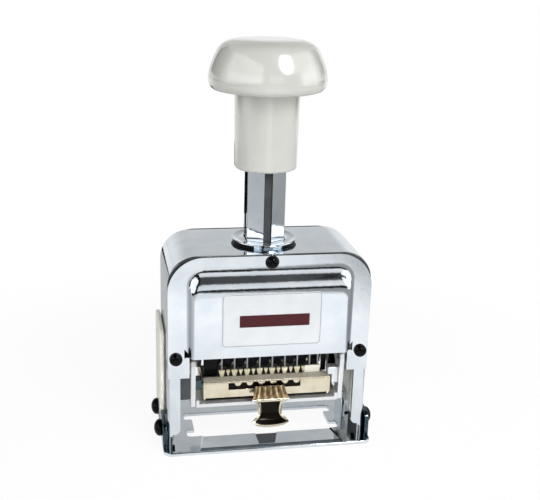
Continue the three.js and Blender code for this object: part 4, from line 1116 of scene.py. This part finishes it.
# %% Collar and tube
def hexagon(across_flats, corner, steps=6):
    """A hexagon with a corner towards the front and small round corners."""
    reach = (across_flats / 2 - corner) / math.cos(math.pi / 6)
    points = []
    for i in range(6):
        at = 90 + 60 * i
        a, b = reach * math.cos(math.radians(at)), reach * math.sin(math.radians(at))
        points += arc(a, b, corner, at - 30, at + 30, steps)
    return points


collar_low, collar_high = box_mm("guide_collar")
collar_radius, bushing_radius = collar_high.x, 9.0
tube_flats, tube_corner, slide = 13.0, 0.8, 0.25
pin_z, pin_hole, stem_hole = 57.4, 1.45, 1.3
collar_profile = [(bushing_radius, collar_low.z), (bushing_radius, frame_top - 0.05), (9.6, frame_top)]
collar_profile += [(9.7, frame_top + 0.15), (10.1, frame_top + 0.5), (10.7, frame_top + 0.85)]
collar_profile += arc(collar_radius - 0.3, frame_top + 1.2, 0.3, -40, 100, 8)
dish = ((10.3, 1.3), (9.5, 1.02), (8.5, 0.95), (7.7, 1.1), (7.2, 1.3))
collar_profile += [(radius, frame_top + rise) for radius, rise in dish]
collar = lathe("guide_collar_ring", collar_profile, chrome)
collar = carve(
    collar,
    prism("cutter", hexagon(tube_flats + 2 * slide, tube_corner), "Z", collar_low.z - 1, collar_high.z + 1),
    rod(pin_hole, "X", -12, 12, (0, 0, pin_z)),
    rod(stem_hole, "Y", -12, 0, (0, 0, button_z)),
)
add_finishes(collar, seam_shade)
# The underside of the dish, away from its front, takes the seam's painted shade.
for polygon in collar.data.polygons:
    at = polygon.center / MM
    if polygon.normal.z < -0.2 and frame_top - 0.1 < at.z < frame_top + 1.15 and abs(at.x) > 5:
        polygon.material_index = 1
collar = smooth(collar)
seat(collar, "frame", "chrome_plate", "guide_collar")

tube_low, tube_high = box_mm("plunger_tube")
bridge_top, tube_foot, foot_radius = tube_low.z, 1.4, 9.6
tube_bore, pin_slot_half, pin_slot_bottom, groove_top = 4.8, 1.5, 55.6, 95.7
tube = prism("hexagonal_tube", hexagon(tube_flats, tube_corner), "Z", bridge_top, tube_high.z, chrome)
foot_disc = lathe("cutter", [(foot_radius, bridge_top), (foot_radius, bridge_top + tube_foot)], chrome)
tube = carve(tube, foot_disc, operation="UNION")
groove_half, groove_floor = 1.4, -6.1
add_finishes(tube, inside_shade)
tube = carve(
    tube,
    rod(tube_bore, "Z", bridge_top - 1, tube_high.z + 1, (0, 0, 0)),
    block(-20, 20, -pin_slot_half, pin_slot_half, pin_slot_bottom, groove_top),
    block(-groove_half, groove_half, -20, groove_floor, bridge_top + tube_foot, groove_top),
)
# The faces of the groove take the inside's painted shade.
for polygon in tube.data.polygons:
    at = polygon.center / MM
    in_groove = abs(at.x) <= groove_half + 0.01 and at.y < groove_floor + 0.6
    if in_groove and bridge_top + tube_foot < at.z < groove_top + 0.1:
        polygon.material_index = 1
tube = smooth(tube)
seat(tube, "plunger", "chrome_plate", "plunger_tube")

# %% [markdown]
# Sleeve and knob are injection moulded. The knob is a flattened mushroom whose outline follows the
# photograph: widest low down, a shoulder, and a crown that is almost flat. A fine parting line
# runs round it where the two halves of the tool met.

# %% Handle
sleeve_bottom, sleeve_top = [corner.z for corner in box_mm("handle_sleeve")]
sleeve_edge = 1.1
sleeve_profile = [(6.9, sleeve_bottom + 6), (6.9, sleeve_bottom + 0.4), (7.3, sleeve_bottom)]
sleeve_profile += arc(10.5 - sleeve_edge, sleeve_bottom + sleeve_edge, sleeve_edge, -90, -2, 8)
sleeve_profile += [(10.85, sleeve_top + 0.7), (10.95, sleeve_top + 1.3), (0, sleeve_top + 1.3)]
sleeve = lathe("handle_sleeve_moulding", sleeve_profile, ivory_abs)
smooth(sleeve)
seat(sleeve, "plunger", "ivory_plastic", "handle_sleeve")


def on_span(p, q, r, s, t):
    """The value between q and r at t from 0 to 1, on a Catmull-Rom span of four values."""
    square, cube = 2 * p - 5 * q + 4 * r - s, 3 * q - p - 3 * r + s
    return 0.5 * (2 * q + (r - p) * t + square * t * t + cube * t ** 3)


def through(points, steps=10):
    """A smooth line through points."""
    ends = [points[0]] + list(points) + [points[-1]]
    line = []
    for four in zip(ends, ends[1:], ends[2:], ends[3:]):
        for i in range(steps):
            line.append(tuple(on_span(*values, i / steps) for values in zip(*four)))
    return line + [points[-1]]


knob_top = box_mm("knob_cap")[1].z
parting, knob_height = 123.4, 18
knob_outline = through([
    (14.5, 1.35), (16.9, 1.5), (18.4, 2.1), (19.2, 3.2), (19.55, 4.7), (19.58, 6.0), (19.15, 8.3),
    (18.25, 11.0), (17.15, 13.4), (16.0, 15.3), (14.3, 16.7), (11.8, 17.6), (8.0, 17.95), (3.5, 18.0),
    (0, 18.0),
])
knob_profile = [(6.8, sleeve_top + 2.6), (6.8, sleeve_top + 1.3), (11.0, sleeve_top + 1.3)]
for radius, height in knob_outline:
    z = min(knob_top - knob_height + height, knob_top)
    dent = 0.05 * math.exp(-(((z - parting) / 0.22) ** 2))
    knob_profile.append((max(radius - dent, 0), z))
knob = lathe("mushroom_knob", knob_profile, ivory_abs, sides=128)
smooth(knob)
seat(knob, "plunger", "ivory_plastic", "knob_cap")

# %% [markdown]
# Domed screws and the lock button: turned steel with round heads under black enamel.


# %% Domes
def dome(name, radius, height, shank_radius, shank, axis, at, sense):
    """A domed head seated at the point at, with its shank behind it."""
    rim = height * 0.25
    profile = [(0, -shank), (shank_radius, -shank), (shank_radius, 0)]
    profile += [(radius * 0.94, 0), (radius, rim * 0.4)]
    turns = [math.pi / 2 * i / 14 for i in range(15)]
    profile += [(radius * math.cos(t), rim + (height - rim) * math.sin(t)) for t in turns]
    profile[-1] = (0, profile[-1][1])
    return smooth(lathe(name, profile, black_enamel, axis, at, 40, sense), 50)


foot_screw_front, foot_screw_rear, foot_screw_z = -11, 5, 5.5
for side, word in ((-1, "left"), (1, "right")):
    for where, sense, z in (("front", -1, screw_z), ("rear", 1, rear_screw_z)):
        at = (side * screw_x, sense * cover_face, z)
        screw = dome(f"{where}_dome_{word}", 2.2, 1.9, 1.1, 3.0, "Y", at, sense)
        seat(screw, "frame", "black_steel", f"{where}_screw_{word}")
    for where, y in (("front", foot_screw_front), ("rear", foot_screw_rear)):
        at = (side * foot_half, y, foot_screw_z)
        screw = dome(f"foot_dome_{where}_{word}", 2.95, 2.6, 1.3, 4.6, "X", at, side)
        seat(screw, "frame", "black_steel", f"foot_screw_{where}_{word}")
button_seat = cover_face - slide
button = dome("lock_button_dome", 2.15, 2.2, 1.05, button_seat - 8.7, "Y", (0, -button_seat, button_z), -1)
seat(button, "lock_button", "black_steel", "lock_button")

# %% [markdown]
# Side covers: cream mouldings with soft edges over the rear lower half of each side, with a pad
# that fills the notch in the wall.

# %% Side covers
cover_inner, cover_rear, cover_corner, shank_hole = half_width + gap, 17, 2, 1.55
toe_front, toe_rear = 6.4, 1.5
corner_z = side_top - cover_corner
for side, word in ((-1, "left"), (1, "right")):
    outline = [(side_front, toe_front), (cover_rear, toe_rear), (cover_rear, corner_z)]
    outline += arc(cover_rear - cover_corner, corner_z, cover_corner, 0, 90, 6)
    outline += arc(side_front + cover_corner, corner_z, cover_corner, 90, 180, 6)
    ends = sorted((side * cover_inner, side * foot_half))
    made = plate(f"side_cover_moulding_{word}", [outline], "X", *ends, 0.5, cream_abs)
    pad_front, pad_rear, pad_top_z = side_front + overlap, cover_rear - 1.5, side_top - overlap
    pad = [(pad_front, toe_front), (pad_rear, toe_rear), (pad_rear, pad_top_z), (pad_front, pad_top_z)]
    ends = sorted((side * (half_width - wall), side * (cover_inner + 0.5)))
    made = carve(made, prism("cutter", pad, "X", *ends, cream_abs), operation="UNION")
    screw_at = (0, foot_screw_rear, foot_screw_z)
    made = carve(made, rod(shank_hole, "X", min(ends) - 3, max(ends) + 3, screw_at))
    smooth(made)
    seat(made, "frame", "cream_plastic", f"side_cover_{word}")

# %% [markdown]
# The label is thin printed foil: white, with a grey hairline round it and one plain maroon bar.

# %% Label
label_low, label_high = box_mm("label_plate")
label_face = label_low.y + 0.06
label = plate(
    "label_foil_sheet",
    [rounded_box(label_low.x, label_high.x, label_low.z, label_high.z, 1.3)],
    "Y", label_face, label_high.y, 0.05, foil,
)
add_finishes(label, label_line, label_bar)


def label_print(outlines, finish):
    """A print of the given finish on the label's face."""
    return painted(plate("print", outlines, "Y", label_low.y, label_face, 0.01, foil), finish)


hair, hair_inset = 0.22, 0.15
x0, x1 = label_low.x + hair_inset, label_high.x - hair_inset
z0, z1 = label_low.z + hair_inset, label_high.z - hair_inset
inner_line = rounded_box(x0 + hair, x1 - hair, z0 + hair, z1 - hair, 1.0)
hairline = label_print([rounded_box(x0, x1, z0, z1, 1.2), inner_line], 1)
bar_left, bar_right, bar_bottom, bar_top = -10.9, 12.7, 45.1, 49.3
bar = label_print([rounded_box(bar_left, bar_right, bar_bottom, bar_top, 0.2)], 2)
label = merged(label, hairline, bar)
smooth(label)
seat(label, "frame", "label_foil", "label_plate")

# %% [markdown]
# The pad case is an open brass box. Its front wall stands higher, with a long slot below the rolled
# lip where the finger tab is hooked in. The tab is one strip of brass: fluted where it leaves the
# slot, folded over at a ridge, then hollow, and flared again at its lower lip for the nail.

# %% Pad case
case_low, case_high = box_mm("pad_case")
case_front, case_rear = case_low.y, case_high.y
case_half, case_bottom, case_lip = case_high.x, case_low.z, case_high.z
wall_top, case_sheet, case_floor = 20.8, 0.8, 1.4
slot_left, slot_right, slot_low = -13.6, 11.6, 20.3
tooth_pitch, tooth_half, tooth_drop, tooth_first = 4.1, 1.15, 1.15, -10.3
lip_sheet, lip_depth = 0.7, 4.5


def toothed_slot():
    """The slot's outline: small round teeth hang from its upper edge."""
    high = case_lip - lip_sheet - 0.1
    points = [(slot_left, slot_low), (slot_right, slot_low), (slot_right, high)]
    step = 0.2
    for i in range(1, int((slot_right - slot_left) / step)):
        x = slot_right - i * step
        nearest = tooth_first + tooth_pitch * round((x - tooth_first) / tooth_pitch)
        off = abs(x - nearest) / tooth_half
        points.append((x, high - (tooth_drop * math.sqrt(1 - off * off) if off < 1 else 0)))
    return points + [(slot_left, high)]


wall_outline = rounded_box(-case_half, case_half, case_bottom + 1.2, case_lip - 0.2, 0.2, 3)
slotted_wall = plate(
    "case_front", [wall_outline, toothed_slot()], "Y", case_front + 0.25, case_front + case_sheet, 0.1, brass
)
lip_outline = rounded_box(-case_half, case_half, case_front, case_front + lip_depth, 0.6, 4)
pad_case = plate("brass_pad_case", [lip_outline], "Z", case_lip - lip_sheet, case_lip, 0.3, brass)
add_finishes(pad_case, greyed_brass, black_shade_brass)
for polygon in pad_case.data.polygons:
    if polygon.normal.z > 0.9:
        polygon.material_index = 1
box_outline = rounded_box(-case_half, case_half, case_front + 1.0, case_rear, 0.8, 4)
case_box = plate("case_box", [box_outline], "Z", case_bottom, wall_top, 0.2, brass)
inner_half, inner_rear = case_half - case_sheet, case_rear - case_sheet
hollow = block(-inner_half, inner_half, case_front + 0.6, inner_rear, case_bottom + case_floor, wall_top + 1)
case_box = carve(case_box, hollow)
# The low step at the front of the box takes the black painted shade.
for polygon in case_box.data.polygons:
    if polygon.normal.y < -0.5 and polygon.center.z < (case_bottom + 1.5) * MM:
        polygon.material_index = 2
shade_top, shade_front = case_lip - lip_sheet - 0.05, case_front + case_sheet + 0.05
shade_outline = rounded_box(slot_left - 0.6, slot_right + 0.6, slot_low - 0.5, shade_top, 0.2, 3)
slot_shade = plate("slot_shade", [shade_outline], "Y", shade_front, shade_front + 0.25, 0.05, black_shade_brass)
merged(pad_case, slotted_wall, case_box, painted(slot_shade, 2))
# A cheek at each end joins the lip to the box: points from the front, as (depth, height).
cheek = [(0.4, wall_top - 1), (0.4, case_lip - 0.2), (1.2, case_lip - 0.3), (3.4, wall_top - 0.1)]
cheek = [(case_front + depth, z) for depth, z in cheek + [(3.4, wall_top - 1)]]
for side in (-1, 1):
    ends = sorted((side * (case_half - 0.75), side * (case_half - 0.02)))
    merged(pad_case, plate("cheek", [cheek], "X", *ends, 0.1, brass))
smooth(pad_case)
seat(pad_case, "pad_case", "brass", "pad_case")

# %% Finger tab
tab_low, tab_high = box_mm("finger_tab")
tab_middle = (tab_low.x + tab_high.x) / 2 - 0.5
tab_sheet = 0.75
# Levels from the top: height, half width, how far forward, flute depth, edge hollow, sag of the middle.
tab_levels = [
    (21.3, 5.1, -15.6, 0.25, 0.0, 0.0),
    (20.7, 5.15, -15.95, 0.4, 0.0, 0.0),
    (20.0, 5.3, -16.4, 0.42, 0.0, 0.0),
    (18.8, 5.8, -17.2, 0.36, 0.0, 0.0),
    (17.9, 6.3, -18.0, 0.12, 0.0, 0.0),
    (17.45, 6.4, -18.45, 0.0, 0.0, 0.0),
    (17.1, 5.6, -18.5, 0.0, 0.05, 0.0),
    (16.8, 4.6, -18.0, 0.0, 0.2, 0.0),
    (16.2, 4.2, -17.2, 0.0, 0.4, 0.0),
    (14.0, 3.9, -16.85, 0.0, 0.6, 0.0),
    (12.2, 3.85, -16.9, 0.0, 0.6, 0.0),
    (10.9, 4.3, -17.25, 0.0, 0.5, 0.1),
    (9.9, 5.4, -17.7, 0.0, 0.3, 0.4),
    (9.3, 6.25, -18.2, 0.0, 0.1, 0.8),
    (8.9, 6.4, -18.6, 0.0, 0.0, 1.2),
    (8.5, 6.2, -18.75, 0.0, 0.0, 1.4),
]
ridge_z, lip_z = 17.45, 9.0


def finger_tab():
    """A skin through the levels, fluted above and hollow at its edges below, thickened to a sheet."""
    columns, flutes = 49, 5.5
    levels = through(tab_levels, 5)
    rings = []
    for z, half, front, flute, edge, sag in levels:
        ring = []
        for i in range(columns):
            u = 2 * i / (columns - 1) - 1
            wave = flute * math.cos(math.pi * flutes * u) * (1 - u ** 8)
            raised = edge * max(0, (abs(u) - 0.72) / 0.28) ** 2
            y = front - wave - raised + 0.25 * (1 - u * u) * (edge > 0.3)
            ring.append((tab_middle + half * u, y, z - sag * (1 - u * u)))
        rings.append(ring)
    made = ringed("fluted_finger_tab", rings, brass, closed_ring=False, caps=False)
    add_finishes(made, brown_reflection_brass, black_shade_brass)
    spans = columns - 1
    # The flutes take the brown painted reflection, and the hollow below the ridge the black painted shade.
    for polygon in made.data.polygons:
        row, column = divmod(polygon.index, spans)
        z = levels[row][0]
        u = abs(2 * (column + 0.5) / spans - 1)
        if z > ridge_z + 0.2:
            polygon.material_index = 1
        elif lip_z < z < ridge_z - 0.55 and u < 0.86:
            polygon.material_index = 2
    thick = made.modifiers.new("sheet", "SOLIDIFY")
    thick.thickness = tab_sheet * MM
    thick.offset = 0
    return applied(made)


tab = finger_tab()
hook_half, hook_front, hook_bottom, hook_top = 3.6, -16.1, 19.4, 20.2
hook_left, hook_right = tab_middle - hook_half, tab_middle + hook_half
hook = block(hook_left, hook_right, hook_front, case_front + 0.2, hook_bottom, hook_top)
hook.data.materials[0] = brass
tab = merged(tab, hook)
smooth(tab, 40)
seat(tab, "pad_case", "brass", "finger_tab")

# %% [markdown]
# The ink pad is a block of wool felt, cut with a knife and soaked with ink. The case pinches its
# edges, so it is slightly crowned in the middle.


# %% Ink pad
def felt_block(low, high):
    """Rings that round the upper edge off, then rings that rise to a slight crown in the middle."""
    rings = []
    tall, edge_share = high.z - low.z, 0.93
    for inset, share in ((0.0, 0.02), (0.0, 0.75), (0.25, 0.93), (0.9, 1.0)):
        outline = rounded_box(low.x + inset, high.x - inset, low.y + inset, high.y - inset, 0.8, 4)
        rings.append([(x, y, low.z + tall * share * edge_share) for x, y in outline])
    centre = Vector(((low.x + high.x) / 2, (low.y + high.y) / 2))
    for k in range(1, 7):
        t = k / 7
        z = low.z + tall * (edge_share + (1 - edge_share) * math.sin(math.pi / 2 * t))
        rings.append([(*Vector(p).lerp(centre, t), z) for p in outline])
    return ringed("inked_felt_pad", rings, felt)


ink_pad = felt_block(*box_mm("ink_pad"))
smooth(ink_pad, 60)
seat(ink_pad, "pad_case", "ink_felt", "ink_pad")

# %% [markdown]
# Each number wheel is cut brass with ten flat faces, and a mirrored digit stands on each face so
# that it prints the right way round. Beside the type is the saw-toothed ratchet that the pawl
# pushes. The digits come from Blender's own plain font.

# %% Number wheels
wheel_radius, root_radius, face_height = 8.4, 7.3, 4.1
ratchet_tip, ratchet_root, ratchet_width = 6.6, 5.4, 1.0
digit_height, digit_relief = 3.1, 0.45
type_steps, axle_bore = 10, 1.75


def type_outline(radius, root):
    step = 2 * math.pi / type_steps
    half_face = math.asin(face_height / 2 / radius)
    groove = (step / 2 - half_face) * 0.35
    points = []
    for k in range(type_steps):
        at = k * step - math.pi / 2
        face = ((radius, at - half_face), (radius, at + half_face))
        for r, a in ((root, at - step / 2 + groove), *face, (root, at + step / 2 - groove)):
            points.append((r * math.cos(a), axle_z + r * math.sin(a)))
    return points


def ratchet_outline(tip, root):
    step = 2 * math.pi / type_steps
    points = []
    for k in range(type_steps):
        for r, a in ((tip, k * step), (root, (k + 0.9) * step)):
            points.append((r * math.cos(a), axle_z + r * math.sin(a)))
    return points


def digit_mesh(digit):
    curve = bpy.data.curves.new("digit", "FONT")
    curve.body = str(digit)
    curve.size = digit_height / 0.7 * MM
    curve.extrude = digit_relief / 2 * MM
    curve.align_x = "CENTER"
    curve.resolution_u = 3
    text = bpy.data.objects.new("digit", curve)
    bpy.context.scene.collection.objects.link(text)
    data = bpy.data.meshes.new_from_object(text.evaluated_get(bpy.context.evaluated_depsgraph_get()))
    bpy.data.objects.remove(text)
    bpy.data.curves.remove(curve)
    return data


digit_meshes = [digit_mesh(d) for d in range(type_steps)]


def wheel(number):
    """A wheel with its ratchet beside the type, a bore for the axle and ten digits."""
    low, high = box_mm(f"number_wheel_{number}")
    type_high = high.x - ratchet_width
    faces = type_outline(wheel_radius - digit_relief, root_radius - digit_relief)
    made = plate("wheel", [faces], "X", low.x, type_high, 0.12, type_brass)
    teeth = ratchet_outline(ratchet_tip, ratchet_root)
    merged(made, plate("ratchet", [teeth], "X", type_high - 0.5, high.x, 0.1, type_brass))
    made = carve(made, rod(axle_bore, "X", low.x - 1, high.x + 1, (0, 0, axle_z)))
    work = bmesh.new()
    work.from_mesh(made.data)
    middle = (low.x + type_high) / 2 * MM
    flat = math.sqrt(wheel_radius ** 2 - (face_height / 2) ** 2) - digit_relief * 1.1
    # A digit is turned to face down without turning it left to right, so that it stands mirrored on
    # the lowest face, and is then taken round the axle to its own face.
    facing_down = ((1, 0, 0, 0), (0, 1, 0, -digit_height / 2 * MM), (0, 0, -1, -flat * MM), (0, 0, 0, 1))
    stand = Matrix.Translation((middle, 0, 0)) @ Matrix(facing_down)
    for k, data in enumerate(digit_meshes):
        turn = Matrix.Rotation(2 * math.pi * ((k + number) % type_steps) / type_steps, 4, "X")
        copy = data.copy()
        copy.transform(Matrix.Translation((0, 0, axle_z * MM)) @ turn @ stand)
        work.from_mesh(copy)
        bpy.data.meshes.remove(copy)
    bmesh.ops.recalc_face_normals(work, faces=work.faces)
    work.to_mesh(made.data)
    work.free()
    made.name = f"type_wheel_{number}"
    return smooth(made)


for number in range(1, 9):
    seat(wheel(number), f"wheel_{number}", "brass", f"number_wheel_{number}")
drive_low, drive_high = [corner.x for corner in box_mm("drive_ratchet")]
teeth = ratchet_outline(wheel_radius, root_radius)
drive = plate("drive_ratchet_disc", [teeth], "X", drive_low, drive_high, 0.12, type_brass)
drive = smooth(carve(drive, rod(axle_bore, "X", drive_low - 1, drive_high + 1, (0, 0, axle_z))))
seat(drive, "wheel_8", "brass", "drive_ratchet")

# %% [markdown]
# The detent comb: a bar with a sprung wire for each ratchet. Each wire ends in a small brass foot
# that points down between the teeth, with a shorter one between two wires. A thin black rail runs
# through the feet, a black plate closes each end, and a pale block sits at the right, over the pad.

# %% Detent comb
comb_low, comb_high = box_mm("detent_comb")
comb_bar_bottom, comb_tip, comb_plate_bottom = 37.5, 25.4, 23.4
wire_y = -9.45
wire_radius = 0.32
foot_half_width, foot_tip, foot_top = 1.1, 21.9, 25.3
comb = plate(
    "detent_comb_bar", [rounded_box(comb_low.x, comb_high.x, comb_bar_bottom, comb_high.z, 0.4, 4)],
    "Y", wire_y - 1.3, wire_y + 0.25, 0.15, steel,
)
add_finishes(comb, light_gold, black_enamel, cream_abs)
wire_places = [box_mm(f"number_wheel_{number}")[1].x - ratchet_width / 2 for number in range(1, 9)]
wire_places.append((drive_low + drive_high) / 2)


def comb_plate(name, outline, front, rear, edge, finish):
    """A flat part of the comb, from front to rear of the wires, in one of the comb's finishes."""
    return painted(plate(name, [outline], "Y", wire_y + front, wire_y + rear, edge, steel), finish)


def brass_foot(x, share):
    """A foot that tapers to its tip, at full size or a share of it."""
    half, tip = foot_half_width * share, foot_top - (foot_top - foot_tip) * share
    outline = [(x - half, foot_top - 0.2), (x - half * 0.8, foot_top), (x + half * 0.8, foot_top)]
    outline += [(x + half, foot_top - 0.2), (x + half * 0.25, tip + 0.15), (x, tip)]
    outline += [(x - half * 0.25, tip + 0.15)]
    return comb_plate("foot", outline, -0.5, 0.4, 0.12, 1)


for x, after in zip(wire_places, wire_places[1:] + [None]):
    upright = [(wire_radius, comb_tip - 0.6), (wire_radius, comb_bar_bottom + 0.5)]
    merged(comb, lathe("wire", upright, steel, "Z", (x, wire_y, 0), 14), brass_foot(x, 1.0))
    if after:
        merged(comb, brass_foot((x + after) / 2, 0.62))
first_wire, last_wire = wire_places[0], wire_places[-1]
# The rail is black enamel so that it reads as the shade between the wheels, a painted shade.
rail = rounded_box(first_wire - 0.9, last_wire + 0.9, foot_top - 0.5, foot_top - 0.1, 0.12, 3)
merged(comb, comb_plate("rail", rail, -0.1, 0.3, 0.1, 2))
for start, end in ((comb_low.x + 0.1, first_wire - 1.6), (last_wire + 1.1, comb_high.x - 0.1)):
    outline = rounded_box(start, end, comb_plate_bottom, comb_bar_bottom + 0.5, 0.4, 4)
    merged(comb, comb_plate("end plate", outline, -0.3, 0.2, 0.1, 2))
block_left, block_right, block_bottom, block_top = 13.9, 19.4, 22.7, 25.9
end_block = rounded_box(block_left, block_right, block_bottom, block_top, 0.5, 4)
merged(comb, comb_plate("end block", end_block, -1.15, -0.4, 0.2, 3))
smooth(comb)
seat(comb, "plunger", "bright_steel", "detent_comb")

# %% [markdown]
# Small plates inside the frame: a black one behind the left flange, in the black painted shade, an upright
# pale rail on the right wall, and a block on each arm beside the pad case. The left block takes the teal
# painted reflection. The right one is nickel, with a second block on top.

# %% Hangers and blocks
wall_inside = half_width - wall + 0.05
hanger_inner, hanger_bottom, hanger_top = 26.7, 17.6, 27.0
rail_front, rail_rear, rail_bottom, rail_top, rail_sheet = -12.5, -8.6, 6.5, 38, 1.6
block_inner, block_outer, block_front = 22.75, 25.05, -14.6
block_bottom, block_top, upper_bottom, upper_top = 20.6, 24.4, 23.75, 26.6
for side, word, block_finish in ((-1, "left", teal_reflection), (1, "right", nickel)):
    if side < 0:
        outline = rounded_box(-wall_inside, -hanger_inner, hanger_bottom, hanger_top, 0.6, 4)
        hanger = plate(f"hanger_{word}", [outline], "Y", -15.25, -14.5, 0.15, black_shade)
    else:
        outline = rounded_box(rail_front, rail_rear, rail_bottom, rail_top, 0.8, 4)
        rail_inner = wall_inside - rail_sheet
        hanger = plate(f"hanger_{word}", [outline], "X", rail_inner, wall_inside, 0.3, primer)
    seat(smooth(hanger), "frame", "bright_steel")
    ends = sorted((side * block_inner, side * block_outer))
    outline = rounded_box(*ends, block_bottom, block_top, 0.5, 4)
    stop = plate(f"arm_block_{word}", [outline], "Y", block_front, -10.6, 0.3, block_finish)
    if side > 0:
        outline = rounded_box(21.3, block_outer, upper_bottom, upper_top, 0.6, 4)
        merged(stop, plate("upper block", [outline], "Y", block_front, -11.2, 0.35, nickel))
    seat(smooth(stop), "pad_swing", "chrome_plate")

# %% [markdown]
# Black guide strips run down the inside of the two side walls, behind the arms. The right one is
# thinner and reaches lower.

# %% Guide strips
strip_front, strip_rear, strip_top = 7.5, 10.3, 48
for side, word, strip_inner, strip_bottom in ((-1, "left", 24.4, 20.0), (1, "right", 27.0, 14.8)):
    outline = rounded_box(strip_front, strip_rear, strip_bottom, strip_top, 0.8, 4)
    ends = sorted((side * strip_inner, side * (half_width - wall - 0.02)))
    strip = smooth(plate(f"guide_strip_{word}", [outline], "X", *ends, 0.3, black_enamel))
    seat(strip, "frame", "black_steel")

# %% [markdown]
# The return spring is a helix of round wire. It stands between the cross pin and the plug of the tube; the
# real spring shortens as the handle goes down, but here the helix keeps one length.

# %% Return spring
spring_low, spring_high = box_mm("return_spring")
wire, curls = 0.45, 17
spring_radius = spring_high.x - wire


def helix():
    """A round wire wound as a helix from one seat of the spring to the other."""
    around, per_curl = 10, 28
    steps = curls * per_curl
    low, high = spring_low.z + wire, spring_high.z - wire
    rings = []
    for k in range(steps + 1):
        angle = 2 * math.pi * k / per_curl
        z = low + (high - low) * k / steps
        out = Vector((math.cos(angle), math.sin(angle), 0))
        rings.append([
            out * (spring_radius + wire * math.cos(t)) + Vector((0, 0, z + wire * math.sin(t)))
            for t in [2 * math.pi * j / around for j in range(around)]
        ])
    return ringed("return_spring_wire", rings, spring_wire)


spring = helix()
spring.data.shade_smooth()
seat(spring, "frame", "bright_steel", "return_spring")
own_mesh(spring)

# %% [markdown]
# The plates, pins and arms inside have the right shape already. They keep their meshes and get
# rounded edges and a finish.


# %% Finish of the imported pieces
def finish_node(name, material, edge):
    piece = nodes[name]
    piece.data.materials.clear()
    piece.data.materials.append(material)
    bevel = piece.modifiers.new("rounded edges", "BEVEL")
    bevel.width = edge * MM
    bevel.segments = 2
    bevel.limit_method = "ANGLE"
    bevel.angle_limit = math.radians(40)
    piece.data.shade_smooth()
    weighted = piece.modifiers.new("flat faces stay flat", "WEIGHTED_NORMAL")
    weighted.keep_sharp = True


paired = ("pad_pivot", "carriage_plate", "cam_pin", "pawl_plate")
packed_finish = {
    steel: ["cross_pin", "tube_plug", "carriage_bridge", "wheel_axle", "axle_spacer", "stepped_pawl"]
    + [f"{part}_{word}" for part in paired for word in ("left", "right")],
    nickel: ["pad_tray", "pad_arm_left", "pad_arm_right"],
}
for material, names in packed_finish.items():
    for name in names:
        finish_node(name, material, 0.12)
print("finished", sum(len(names) for names in packed_finish.values()), "packed nodes")
